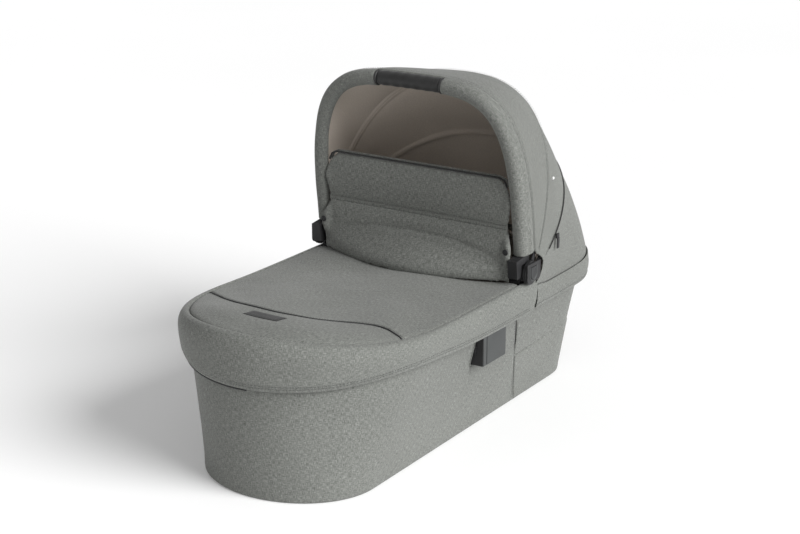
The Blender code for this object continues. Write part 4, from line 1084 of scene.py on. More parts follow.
@dataclass
class RimBands:
    """The apron's skirt round the foot and the band round the head."""

    lines: CotLines
    wardrobe: Wardrobe
    end_y: float = 0.139
    corner: float = 0.015
    columns: int = 190
    lifts: tuple[float, ...] = (0.0035, 0.0052, 0.0064, 0.0076, 0.0092, 0.0104, 0.0116, 0.014)
    sewn_lifts: Pair = (0.0064, 0.0104)
    stitch_dent: float = 0.0009
    hem_roll: tuple[Pair, ...] = (
        (0.0046, 0.012), (0.0044, 0.0015), (0.0030, -0.0006), (0.0012, -0.0002), (0.0002, 0.0012),
    )
    rows_up: int = 18
    height: float = 0.055
    fullest_share: float = 0.6
    seam_gap: float = 0.0010
    waves: Waves = Waves((0.08, 0.0014), (0.028, 0.0003), (5.0, 2.0, 1.0))

    def hem_at(self, y: float, head: bool) -> float:
        """Height of the hem, which turns up round the skirt's corner."""
        low = self.lines.hem_z(y)
        if head:
            return low + 0.003
        past = y - (self.end_y - self.corner)
        if past > 0:
            low += self.corner - sqrt(max(self.corner ** 2 - past ** 2, 0.0))
        return low

    def top_at(self, y: float, head: bool) -> float:
        """Height of the band's top seam."""
        if head:
            return 0.2385 + 0.0065 * eased((y - 0.24) / 0.18) + 0.004 * eased((0.18 - y) / 0.04)
        return self.lines.rim_z(y)

    def outline(self, share: float, head: bool = False) -> Oval:
        """The band's outline a share of the way up, which stays full where the hood is sewn on."""
        full = self.fullest_share
        if share <= full:
            return self.lines.hem.mixed(self.lines.fullest, 1 - (1 - share / full) ** 2)
        past = min((share - full) / (1.0 - full), 1.0)
        if head:
            return self.lines.fullest.inset(0.0016 * past)
        return self.lines.fullest.mixed(self.lines.rim, 1 - sqrt(1 - past * past))

    def row(self, oval: Oval, height: Callable[[float], float], head: bool, loose: float = 1.0) -> Row:
        """One row of the band."""
        line = oval.half_line(head, self.end_y + (self.seam_gap if head else 0.0), self.columns)
        result = []
        for index, p in enumerate(line):
            place = Vector((p.x, p.y, height(p.y)))
            result.append(place + outwards(line, index) * self.waves.at(place) * loose)
        return result

    def rows(self, head: bool) -> list[Row]:
        """The band's rows, from inside its hem over its fullest line into the top seam."""
        hem = self.lines.hem
        result = []
        for inset, lift in self.hem_roll:
            oval = hem.inset(inset)
            result.append(self.row(oval, lambda y, up=lift: self.hem_at(y, head) + up, head, 0.4))
        for lift in self.lifts:
            dent = self.stitch_dent if lift in self.sewn_lifts else 0.0
            oval = self.outline(lift / self.height).inset(dent)
            result.append(self.row(oval, lambda y, up=lift: self.hem_at(y, head) + up, head, 0.5))
        for step in range(1, self.rows_up + 1):
            share = mix(0.28, 1.0, step / self.rows_up)
            oval = self.outline(share, head)
            height = lambda y, s=share: mix(self.hem_at(y, head), self.top_at(y, head), s)
            result.append(self.row(oval, height, head, min(1.0, 3 * (1 - share)) + 0.1))
        tuck = self.lines.fullest.inset(0.0042) if head else self.lines.rim.inset(0.0024)
        result.append(self.row(tuck, lambda y: self.top_at(y, head) - 0.0022, head, 0.1))
        result.append(self.row(tuck.inset(0.0006), lambda y: self.top_at(y, head) - 0.009, head, 0.0))
        return result

    def sewing(self, lift: float, head: bool) -> Row:
        """A stitch line at a height above the hem."""
        oval = self.outline(lift / self.height).inset(-0.0001)
        return self.row(oval, lambda y: self.hem_at(y, head) + lift, head, 0.5)

    def foot_piping(self) -> Row:
        """The black cord that shows under the hem round the left of the foot."""
        line = self.row(self.lines.hem.inset(0.0024), lambda y: self.hem_at(y, False) - 0.0016, False, 0.4)
        return [p for p in line if p.y < -0.16 and p.x < 0.030]

    def build(self) -> None:
        """Make the skirt, the rear band, their piping and their stitches."""
        dress = self.wardrobe.dress
        inside = Vector((0.0, 0.0, 0.22))
        skirt = refine(thicken(lay_cloth("apron_skirt_cloth", self.rows(False), inside), 0.0012))
        dress(skirt, MELANGE, "root", "apron_skirt")
        band = refine(thicken(lay_cloth("rear_band_cloth", self.rows(True), inside), 0.0012))
        dress(band, MELANGE, "root", "rear_band")
        dress(cord("foot_piping", even(self.foot_piping(), 160), 0.0017), TRIM, "root")
        sewn = []
        for lift in self.sewn_lifts:
            line = self.sewing(lift, False)
            sewn.append([p for p in line if p.x > -0.01 and p.y < 0.122])
            sewn.append([p for p in line if p.x < -0.18 and -0.17 < p.y < 0.122])
        sewn.append(self.sewing(self.sewn_lifts[0], True))
        dress(Thread(0.0040, 0.0016, 0.0010).sew("hem_stitches", sewn), YARN, "root")


@dataclass
class Apron:
    """The padded cover over the legs, with its zip and its blank label."""

    lines: CotLines
    wardrobe: Wardrobe
    margin: float = 0.0018
    columns: int = 130
    bare: float = 0.0013
    half_span: float = 0.206
    rise_width: float = 0.036
    edge_roll: Pair = (0.010, 0.0050)
    zip_dip: Pair = (0.005, 0.0022)
    loose_width: float = 0.03
    waves: Waves = Waves((0.12, 0.0045), (0.045, 0.0009), (2.0, 7.0, 0.0))
    label_half: float = 0.033
    label_y: Pair = (-0.366, -0.341)
    label_slant: float = 0.10
    label_lifts: tuple[float, ...] = (0.0004, 0.0011, 0.0007, 0.0011, 0.0012)

    def edge(self) -> Oval:
        """The apron's outline inside the rim seam, with the rim's own corners."""
        rim = self.lines.rim
        return Oval(
            rim.half_width - self.margin, rim.foot + self.margin, rim.head, rim.foot_round, rim.head_round,
            rim.foot_power, rim.head_power,
        )

    def place(self, x: float, y: float) -> Vector:
        """A place on the apron, with its rounded edges and soft waves."""
        edge = self.edge()
        inside = (1.0 - edge.reach(x, y)) * self.half_span
        settled = 1.0 - min(inside / self.rise_width, 1.0)
        z = mix(self.lines.rim_z(y), self.lines.apron_z(x, y), 1.0 - settled * settled)
        roll_width, roll_depth = self.edge_roll
        near = min(max(1.0 - inside / roll_width, 0.0), 1.0)
        z -= roll_depth * (1.0 - sqrt(1.0 - near * near))
        dip_width, dip_depth = self.zip_dip
        sewn = min(abs(y - self.lines.zip_y(x)) / dip_width, 1.0)
        z -= dip_depth * (1.0 - sewn) ** 2
        spot = Vector((x, y, 0.0))
        loose = min(inside / self.loose_width, 1.0)
        z += self.waves.at(spot) * loose
        return Vector((x, y, z))

    def top_rows(self) -> list[Row]:
        """Rows from the zip up to behind the wind flap."""
        edge = self.edge()
        rows = []
        for step in range(64):
            share = step / 63
            row = []
            for column in range(self.columns + 1):
                across = 2 * column / self.columns - 1
                x = across * edge.half_width
                for _ in range(4):
                    low = self.lines.zip_y(x) + self.bare
                    y = mix(low, self.lines.flap_foot_y(x) + 0.004, share)
                    x = across * edge.half_width_at(y)
                row.append(self.place(x, y))
            rows.append(row)
        return rows

    def foot_rows(self) -> list[Row]:
        """Rows from the foot seam up to the zip."""
        edge = self.edge()
        low_x = -edge.half_width_at(self.lines.zip_points[0][1])
        high_x = edge.half_width_at(self.lines.zip_points[-1][1])
        rows = []
        for step in range(30):
            share = eased(step / 29) * 0.4 + step / 29 * 0.6
            row = []
            for column in range(self.columns + 1):
                x = mix(low_x, high_x, (1 - cos(pi * column / self.columns)) / 2)
                low = edge.foot_edge(x)
                high = max(self.lines.zip_y(x) - self.bare, low)
                row.append(self.place(x, mix(low, high, share)))
            rows.append(row)
        return rows

    def zip_line(self, lift: float, shift: float = 0.0) -> Row:
        """A line along the zip."""
        edge = self.edge()
        low_x = -edge.half_width_at(self.lines.zip_points[0][1]) + 0.002
        high_x = edge.half_width_at(self.lines.zip_points[-1][1]) - 0.002
        line = []
        for step in range(201):
            x = mix(low_x, high_x, step / 200)
            line.append(self.place(x, self.lines.zip_y(x) + shift) + Vector((0.0, 0.0, lift)))
        return even(line, 260)

    def label_rows(self) -> list[Row]:
        """The blank label with a pressed border."""
        last_row, last_column = 16, 40
        low_y, high_y = self.label_y
        middle_y = -0.353
        rows = []
        for step in range(last_row + 1):
            y = mix(low_y, high_y, step / last_row)
            row = []
            for column in range(last_column + 1):
                x = mix(-self.label_half, self.label_half, column / last_column)
                rim = min(step, last_row - step, column, last_column - column)
                lift = self.label_lifts[min(rim, len(self.label_lifts) - 1)]
                row.append(self.place(x + self.label_slant * (y - middle_y), y) + Vector((0.0, 0.0, lift)))
            rows.append(row)
        return rows

    def build(self) -> None:
        """Make the two lids, the zip and the label."""
        dress = self.wardrobe.dress
        below = Vector((0.0, -0.15, -2.0))
        top = refine(thicken(lay_cloth("apron_top_cloth", self.top_rows(), below), 0.0022))
        dress(top, MELANGE, "root", "apron_top")
        foot = refine(thicken(lay_cloth("apron_foot_cloth", self.foot_rows(), below, joined=True), 0.0022))
        dress(foot, MELANGE, "root", "apron_foot")
        flat_way = Vector((0.0, 1.0, 0.0))
        tape = cord("foot_zip_tape", self.zip_line(0.0002), 0.0032, 8, 0.35, flat_way)
        dress(tape, TRIM, "root", "foot_zip")
        dress(cord("foot_zip_coil", self.zip_line(0.0012), 0.0017, 8), BLACK, "root")
        label = thicken(lay_cloth("blank_label", self.label_rows(), below), 0.0010)
        dress(label, LABEL, "root", "apron_patch")
        sewn = [self.zip_line(0.0003, shift) for shift in (-0.0052, 0.0052)]
        dress(Thread(0.0032, 0.0014, 0.0007).sew("zip_stitches", sewn), YARN, "root")


@dataclass
class WindFlap:
    """The two padded panels that stand in front of the hood's opening."""

    lines: CotLines
    wardrobe: Wardrobe
    stuffing: Stuffing = field(default_factory=Stuffing)
    fold_y: float = 0.0935
    fold_z: float = 0.352
    foot_z: float = 0.2550
    top_z: float = 0.4385
    thickness: float = 0.012
    outline: tuple[Pair, ...] = (
        (0.2550, 0.1930), (0.285, 0.1935), (0.309, 0.1985), (0.319, 0.1975), (0.3465, 0.1870),
        (0.3560, 0.1870), (0.393, 0.1930), (0.400, 0.1925), (0.4385, 0.1780),
    )
    fold_half: float = 0.0018
    rows_up: int = 26
    held_x: float = 0.183
    fold_profile: tuple[Pair, ...] = (
        (-0.0050, 0.0010), (-0.0032, 0.0030), (0.0, 0.0022), (0.0032, 0.0030), (0.0050, 0.0010),
    )
    snap_x: float = 0.1905
    snap_z: float = 0.3125
    snap_radius: float = 0.0042

    def half_width(self, z: float) -> float:
        """Half the flap's width at a height, with its ears and points."""
        for (low_z, low_half), (high_z, high_half) in zip(self.outline, self.outline[1:]):
            if z <= high_z:
                share = (z - low_z) / (high_z - low_z)
                return mix(low_half, high_half, eased(share) * 0.5 + 0.5 * max(share, 0.0))
        return self.outline[-1][1]

    def middle_y(self, x: float, z: float) -> float:
        """Where the flap's middle layer lies."""
        foot = self.lines.flap_foot_y(x)
        rise = eased((z - 0.262) / 0.062)
        at_side = eased((abs(x) - 0.176) / 0.014)
        ear = 0.0095 * at_side * exp(-(((z - 0.310) / 0.024) ** 4))
        point = 0.0050 * at_side * exp(-(((z - 0.396) / 0.020) ** 2))
        return mix(foot, self.fold_y, rise) - ear - point

    def panel_rows(self, low: float, high: float, count: int, columns: int = 84) -> list[Row]:
        """A closed panel's rows, each once round its front and back."""
        rows = []
        for step in range(count + 1):
            share = step / count
            front, back = [], []
            for column in range(columns + 1):
                across = 2 * column / columns - 1
                foot_rise = self.lines.apron_z(0.0, 0.05) - 0.2575 if low < 0.3 else 0.0
                z = mix(low + foot_rise * (1 - share), high, share)
                if low > 0.3 and share > 0.75:
                    z -= 0.010 * max(abs(across) - 0.93, 0.0) / 0.07 * (share - 0.75) / 0.25
                half = self.half_width(z)
                x = across * half
                swell = (4 * share * (1 - share)) ** 0.34 * (1 - abs(across) ** 26) ** 0.30
                half_thick = self.thickness / 2 * max(swell, 0.34)
                y = self.middle_y(x, z)
                front.append(Vector((x, y - half_thick * 1.25, z)))
                back.append(Vector((x, y + half_thick * 0.75, z)))
            rows.append(front + back[::-1] + [front[0].copy()])
        return rows

    def front_line(self, z: float, reach: float, lift: float = 0.0) -> Row:
        """A line across the flap's front at a height."""
        line = []
        for step in range(81):
            x = (2 * step / 80 - 1) * (self.half_width(z) - reach)
            line.append(Vector((x, self.middle_y(x, z) - lift, z)))
        return line

    def snap(self, name: str, side: float) -> None:
        """A press stud with a ring and a slotted cap."""
        x, z = side * self.snap_x, self.snap_z
        y = self.middle_y(x, z) - 0.0074
        ring = [
            Vector((x + self.snap_radius * cos(turn), y, z + self.snap_radius * sin(turn)))
            for turn in (2 * pi * step / 24 for step in range(25))
        ]
        item = cord(f"snap_ring_{name}", ring, 0.0011, 8)
        self.wardrobe.dress(item, BLACK, "flap_lower", f"flap_snap_{name}")
        builder = bmesh.new()
        turned = Matrix.Translation((x, y + 0.0002, z)) @ Matrix.Rotation(pi / 2, 4, "X")
        bmesh.ops.create_cone(
            builder, cap_ends=True, segments=20, radius1=0.0036, radius2=0.0024, depth=0.0022, matrix=turned
        )
        bmesh.ops.bevel(
            builder, geom=[e for e in builder.edges if e.calc_face_angle(0.0) > 0.5], offset=0.0004,
            segments=2, profile=0.5, affect="EDGES", material=-1,
        )
        self.wardrobe.dress(add_item(f"snap_cap_{name}", builder), DIM, "flap_lower")

    def pad(self, body: str, span: Pair, seams: Pair) -> bpy.types.Object:
        """One stuffed panel.

        Args:
            body: The body that it rides, which is also the node that it stands for.
            span: The heights of its foot and its top.
            seams: The heights that its sewn foot edge ends at and its sewn top edge starts at.

        Returns:
            The dressed panel.
        """
        panel = lay_cloth(f"{body}_pad", self.panel_rows(*span, self.rows_up), joined=True)
        foot_seam, top_seam = seams
        self.stuffing.swell(
            panel, lambda p: p.z < foot_seam or p.z > top_seam or abs(p.x) > self.held_x
        )
        map_flat(panel, 0, 2)
        return self.wardrobe.dress(panel, MELANGE, body, body)

    def build(self) -> None:
        """Make both panels, the fold between them, the piping and the studs."""
        dress = self.wardrobe.dress
        below, above = self.fold_z - self.fold_half, self.fold_z + self.fold_half
        lower = self.pad("flap_lower", (self.foot_z, below), (self.foot_z + 0.006, self.fold_z - 0.007))
        upper = self.pad("flap_upper", (above, self.top_z), (self.fold_z + 0.007, self.top_z - 0.004))
        band = [
            even(self.front_line(self.fold_z + z, 0.0010, lift), 80) for z, lift in self.fold_profile
        ]
        fold = thicken(lay_cloth("flap_fold_band", band, Vector((0.0, 0.5, 0.35))), 0.0010)
        dress(fold, MELANGE, "flap_lower")
        sewn = [self.front_line(self.fold_z + z, 0.004, 0.0032) for z in (-0.0032, 0.0032)]
        dress(Thread(0.0032, 0.0014, 0.0008).sew("flap_fold_stitches", sewn), YARN, "flap_lower")
        top = self.front_line(self.top_z, 0.0, 0.0042)
        ends = [top[0] + Vector((-0.0065, 0.0, -0.016)), top[0] + Vector((-0.0010, 0.0, -0.0045))]
        path = ends + top[2:-2] + [Vector((-p.x, p.y, p.z)) for p in ends[::-1]]
        piping = even([p + Vector((0.0, 0.0, 0.0006)) for p in path], 160)
        dress(cord("flap_top_piping", piping, 0.0019, 8), TRIM, "flap_upper", "flap_piping")
        edge = [p + Vector((0.0, 0.0068, 0.0012)) for p in path]
        dress(cord("flap_back_edge", even(edge, 120), 0.0020, 8), MELANGE, "flap_upper")
        for name, side in SIDES.items():
            self.snap(name, side)


@dataclass
class Hood:
    """The folding hood: three outer panels and three lining panels over the bows."""

    lines: CotLines
    wardrobe: Wardrobe
    front: Arch = Arch(-7.0, 0.2240, 0.331, 3.6, 0.0155)
    middle: Arch = Arch(25.7, 0.228, 0.336, 2.56)
    rear: Arch = Arch(57.4, 0.2325, 0.318, 2.3)
    rim: Arch = Arch(94.3, 0.2155, 0.320, 4.0)
    columns: int = 110
    rows_across: int = 26
    lining_drop: float = 0.0135
    waves: Waves = Waves((0.10, 0.0030), (0.04, 0.0005), (4.0, 2.0, 9.0))

    def cot_edge(self, inwards: float) -> Row:
        """Where the rear panel is sewn to the band round the cot's head, from right to left."""
        line = self.lines.fullest.inset(inwards + 0.0036).head_line(0.128, self.columns + 1)
        height = RimBands(self.lines, self.wardrobe).top_at
        drop = 0.0 if inwards else 0.0022
        return [Vector((p.x, p.y, height(p.y, True) - drop)) for p in line[::-1]]

    @staticmethod
    def seam_lift(near: float, pocket: bool) -> float:
        """How far a panel stands off at a distance from its nearer bow."""
        if not pocket:
            return -0.0017 * exp(-((near / 0.0022) ** 2))
        sunk = -0.0020 * (1 - eased((near - 0.004) / 0.0035)) if near < 0.008 else 0.0
        return sunk + 0.0008 * exp(-(((near - 0.0085) / 0.0012) ** 2))

    def sheet_rows(self, edges: tuple[Row, Row], fullness: float, pocket: bool) -> list[Row]:
        """Rows of a panel between two bows.

        Args:
            edges: The places along the bow that it starts on and along the one that it ends on.
            fullness: 0 is stretched flat and 1 is round the pivot line.
            pocket: Whether it is lining, with raised bow pockets, or outer cloth, with seams.

        Returns:
            The rows, from the first bow to the second.
        """
        first = self.front
        rows = []
        for step in range(self.rows_across + 1):
            share = (1 - cos(pi * step / self.rows_across)) / 2
            row = []
            for a, b in zip(*edges):
                span = (b - a).length
                place = over_bows(a, b, share, fullness, first)
                near = min(share, 1 - share) * span
                out = Vector((place.x * 0.8, place.y - first.pivot_y, place.z - first.pivot_z)).normalized()
                wave = self.waves.at(place) * min(near / 0.02, 1.0)
                row.append(place + out * (self.seam_lift(near, pocket) + wave))
            rows.append(row)
        return rows

    def edges_of(self, arches: tuple[Arch, Arch], inwards: float) -> tuple[Row, Row]:
        """A panel's two long edges."""
        first, second = arches
        head = self.cot_edge(inwards) if second is self.rim else second.path(self.columns + 1, inwards)
        return first.path(self.columns + 1, inwards), head

    def panel(
        self,
        name: str,
        nodes: tuple[str, str],
        arches: tuple[Arch, Arch],
        bodies: tuple[str, str],
        fullness: float,
        bar: str,
    ) -> None:
        """One outer panel and its lining, laid between a bow and the next bow or the band round the cot's
        head.
        """
        first, second = arches
        start = second.spot(0.0, second.height)
        end = first.spot(0.0, first.height)
        pivot = Vector((0.0, first.pivot_y, first.pivot_z))
        outer_rows = self.sheet_rows(self.edges_of(arches, 0.0), fullness, False)
        outer = refine(thicken(lay_cloth(f"hood_{name}_cloth", outer_rows, pivot), 0.0016))
        self.wardrobe.dress(outer, MELANGE, None, nodes[0])
        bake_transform(outer)
        lining_rows = self.sheet_rows(self.edges_of(arches, self.lining_drop), fullness, True)
        lining = lay_cloth(f"lining_{name}_cloth", lining_rows[::-1], pivot)
        turn_over(lining)
        refine(thicken(lining, 0.0012))
        self.wardrobe.dress(lining, LINING, None, nodes[1])
        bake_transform(lining)

    def seam_stitches(self) -> None:
        """Rows of stitches beside the panel seams, which ride with their bows."""
        beside = 0.95
        for name, arch, sides in (
            ("front", self.front, (beside,)),
            ("middle", self.middle, (-beside, beside)),
            ("rear", self.rear, (-beside, beside)),
        ):
            lines = [arch.leaned(degrees).path(200, -0.0004, 0.045) for degrees in sides]
            sewn = Thread(0.0034, 0.0016, 0.0007).sew(f"hood_{name}_stitches", lines)
            self.wardrobe.dress(sewn, YARN, f"{name}_bow")

    def build(self) -> None:
        """Make the panels, their seams, the zip and the tag."""
        self.panel(
            "rear", ("hood_rear", "lining_rear"), (self.rear, self.rim),
            ("root", "rear_bow"), 0.66, "rear_bow_bar",
        )
        self.panel(
            "middle", ("hood_middle", "lining_middle"), (self.middle, self.rear),
            ("rear_bow", "middle_bow"), 0.30, "middle_bow_bar",
        )
        self.panel(
            "front", ("hood_front", "lining_front"), (self.front, self.middle),
            ("middle_bow", "front_bow"), 0.30, "middle_bow_bar",
        )
        self.seam_stitches()
        zip_path = self.rear.leaned(0.7).path(240, -0.0006, 0.060)
        self.wardrobe.dress(cord("hood_zip_coil", zip_path, 0.0011, 6), TRIM, "rear_bow", "hood_zip")
        tag = block("hood_tape_tag", (0.2165, 0.1900, 0.4205), (0.2190, 0.1945, 0.4245), 0.0004, 2)
        self.wardrobe.dress(tag, WHITE_TAG, "middle_bow")
        self.zip_pull()

    def zip_pull(self) -> None:
        """The moulded pull that hangs from the hood zip."""
        low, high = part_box("hood_zip_pull")
        tab = block(
            "zip_pull_tab", (low.x - 0.0004, low.y - 0.0006, low.z),
            (high.x + 0.0004, high.y + 0.0006, high.z - 0.004), 0.0007,
        )
        self.wardrobe.dress(tab, BLACK, "zip_pull", "hood_zip_pull")
        slider = block(
            "zip_slider", (low.x - 0.0022, low.y - 0.0010, high.z - 0.006),
            (high.x - 0.0004, high.y + 0.0010, high.z + 0.003), 0.0008,
        )
        self.wardrobe.dress(slider, BLACK, "zip_pull")


@dataclass
class FrontBow:
    """The front bow's sewn sleeves, its front hem and its carry handle."""

    hood: Hood
    wardrobe: Wardrobe
    bow: Arch = Arch(-7.0, 0.206, 0.320, 3.9)
    sleeve_radius: float = 0.0138
    handle_radius: float = 0.0130
    handle_half: float = 0.0625
    collar: float = 0.0058
    fine: int = 900
    bow_ends: float = 0.032
    edge_ends: float = 0.034
    inside: Vector = field(default_factory=lambda: Vector((0.0, 0.110, 0.273)))

    def grip_radius(self, share: float) -> float:
        """The handle's radius along it, a little smaller at its ends."""
        return self.handle_radius * (1.0 - 0.05 * (2 * share - 1) ** 8) + 0.0003 * sin(share * 37)

    def collar_radius(self, share: float) -> float:
        """A collar's radius along it, fullest in its middle."""
        return self.handle_radius + 0.0012 * sin(pi * (0.12 + 0.76 * share))

    def stretch(self, low_x: float, high_x: float, count: int) -> tuple[Row, Row, Row]:
        """The bow, the hood's edge and the lining's edge between two distances from the middle."""
        bow = self.bow.path(self.fine, 0.0, self.bow_ends)
        edge = self.hood.front.path(self.fine, 0.0, self.edge_ends)
        lining = self.hood.front.path(self.fine, self.hood.lining_drop, self.edge_ends)
        keep = [index for index, point in enumerate(bow) if low_x <= point.x <= high_x]
        picked = [keep[round(step * (len(keep) - 1) / (count - 1))] for step in range(count)]
        return [bow[i] for i in picked], [edge[i] for i in picked], [lining[i] for i in picked]

    def sleeve_rows(self, low_x: float, high_x: float, count: int) -> list[Row]:
        """Rows of a sleeve, each wrapped from the hood's seam round the bow to the lining."""
        bow, edge, lining = self.stretch(low_x, high_x, count)
        back = self.bow.normal()
        rows = []
        for index, point in enumerate(bow):
            along = (bow[min(index + 1, count - 1)] - bow[max(index - 1, 0)]).normalized()
            out = along.cross(back)
            if out.dot(point - self.inside) < 0:
                out = -out
            gather = 0.03 * sin(index * 0.9) * exp(-index / 9)
            radius = self.sleeve_radius * (1 + gather) + ripple(point, 0.05, 0.0008)
            turned = [
                point + (out * cos(turn) - back * sin(turn)) * radius
                for turn in (pi * step / 12 for step in range(13))
            ]
            start = edge[index] + (point - edge[index]).normalized() * 0.0004 - out * 0.0012
            end = lining[index] + out * 0.0006
            first = start.lerp(turned[0], 0.5) + out * 0.0022
            last = end.lerp(turned[-1], 0.5) - out * 0.0022
            profile = smooth_line([start, first, *turned, last, end], 2)
            rows.append(even(profile, 34))
        return rows

    def front_hem_rows(self, count: int) -> list[Row]:
        """The hood's turned front edge behind the handle."""
        reach = self.handle_half + self.collar + 0.006
        _, edge, lining = self.stretch(-reach, reach, count)
        back = self.bow.normal()
        rows = []
        for top, low in zip(edge, lining):
            middle = (top + low) / 2
            half = (top - low) / 2
            rows.append([
                middle + half * cos(turn) - back * (0.0048 * sin(turn))
                for turn in (pi * step / 14 for step in range(15))
            ])
        return rows

    def bow_path(self, low_x: float, high_x: float, count: int) -> Row:
        """The bow's middle line between two distances from the middle."""
        whole = self.bow.path(self.fine, 0.0, self.bow_ends)
        return even([p for p in whole if low_x <= p.x <= high_x], count)

    def build(self) -> None:
        """Make the sleeves, the front hem, the handle and its collars."""
        dress = self.wardrobe.dress
        start = self.handle_half + self.collar - 0.001
        pivot = Vector((0.0, 0.110, 0.40))
        for name, side in SIDES.items():
            span = sorted((side * start, side * 0.2062))
            rows = self.sleeve_rows(span[0], span[1], 90)
            sleeve = refine(thicken(lay_cloth(f"bow_sleeve_{name}_cloth", rows, pivot), 0.0014))
            dress(sleeve, MELANGE, "front_bow", f"bow_sleeve_{name}")
            span = sorted((side * (self.handle_half + 0.0004), side * (self.handle_half + self.collar)))
            collar = cord(f"handle_collar_{name}_skin", self.bow_path(*span, 9), self.collar_radius, 24)
            dress(collar, GRIP, "front_bow", f"handle_collar_{name}")
        hem = thicken(lay_cloth("hood_front_hem", self.front_hem_rows(50), pivot), 0.0010)
        dress(hem, MELANGE, "front_bow")
        path = self.bow_path(-self.handle_half, self.handle_half, 60)
        grip = cord("carry_handle_skin", path, self.grip_radius, 28)
        dress(grip, GRIP, "front_bow", "carry_handle")
        down = Vector((0.0, 0.0, -1.0))
        back = self.bow.normal()
        lines = []
        for turn in (0.35, 0.55):
            off = (down * cos(turn) + back * sin(turn)) * (self.handle_radius + 0.0002)
            lines.append([p + off for p in path])
        for edge in (4, 55):
            centre = path[edge]
            along = (path[edge + 1] - path[edge - 1]).normalized()
            up = along.cross(back)
            lines.append([
                centre + (up * cos(turn) + back * sin(turn)) * (self.handle_radius + 0.0001)
                for turn in (2 * pi * step / 40 for step in range(41))
            ])
        dress(Thread(0.0030, 0.0014, 0.0008).sew("handle_stitches", lines), TRIM, "front_bow")


@dataclass
class Bedding:
    """The soft liner and the mattress inside the cot."""

    lines: CotLines
    wardrobe: Wardrobe
    columns: int = 150
    liner_top: float = 0.232
    mattress_rounds: Pair = (0.125, 0.095)

    def liner_rows(self) -> list[Row]:
        """Rows of the liner, from the mattress up to its turned top edge."""
        low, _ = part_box("inner_liner")
        rows = []
        for step in range(19):
            share = step / 18
            z = mix(low.z + 0.003, self.liner_top, share)
            oval = self.lines.wall(min(z, 0.2)).inset(0.0205 + 0.001 * share)
            row = []
            for p in oval.whole_line(self.columns):
                quilt = 0.0012 * abs(sin(p.y * 42.0)) * abs(sin(z * 42.0))
                out = Vector((p.x, p.y * 0.5, 0.0)).normalized()
                row.append(Vector((p.x, p.y, z)) - out * quilt)
            rows.append(row)
        return rows

    def mattress_rows(self) -> list[Row]:
        """Rows of the mattress, from under it over its side to the middle of its top."""
        low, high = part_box("mattress")
        foot, head, half = low.y + 0.001, high.y - 0.001, high.x - 0.001
        outline = Oval(half, foot, head, *self.mattress_rounds)
        top = high.z - 0.0035
        profile = [(0.010, low.z + 0.0005), (0.002, low.z + 0.004), (0.0, low.z + 0.012)]
        profile += [(0.0, top - 0.012), (0.0015, top - 0.005), (0.006, top - 0.001), (0.014, top + 0.0010)]
        profile += [(0.03, top + 0.0022), (0.06, top + 0.003), (0.09, top + 0.003)]
        profile.append((half - 0.002, top + 0.003))
        rows = []
        for inset, z in profile:
            row = []
            for p in outline.inset(min(inset, half - 0.004)).whole_line(self.columns):
                tuft = 0.0016 * abs(sin(p.x * 55.0)) * abs(sin(p.y * 40.0)) if z > top else 0.0
                row.append(Vector((p.x, p.y, z - tuft)))
            rows.append(row)
        return rows

    def build(self) -> None:
        """Make the liner, the mattress and its piping."""
        dress = self.wardrobe.dress
        liner = lay_cloth("cot_liner_cloth", self.liner_rows(), Vector((0.0, 0.0, 0.15)), joined=True)
        turn_over(liner)
        dress(thicken(liner, 0.0018), INNER, "root", "inner_liner")
        mattress = lay_cloth("mattress_pad", self.mattress_rows(), Vector((0.0, 0.0, 0.03)), joined=True)
        close_ends(mattress)
        map_flat(mattress, 0, 1)
        dress(mattress, KNIT, "root", "mattress")
        low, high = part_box("mattress")
        inset = 0.0012
        outline = Oval(high.x - inset, low.y + inset, high.y - inset, *self.mattress_rounds)
        path = [Vector((p.x, p.y, high.z - 0.009)) for p in outline.whole_line(260)]
        dress(cord("mattress_piping", path, 0.0013, 6), INNER, "root")


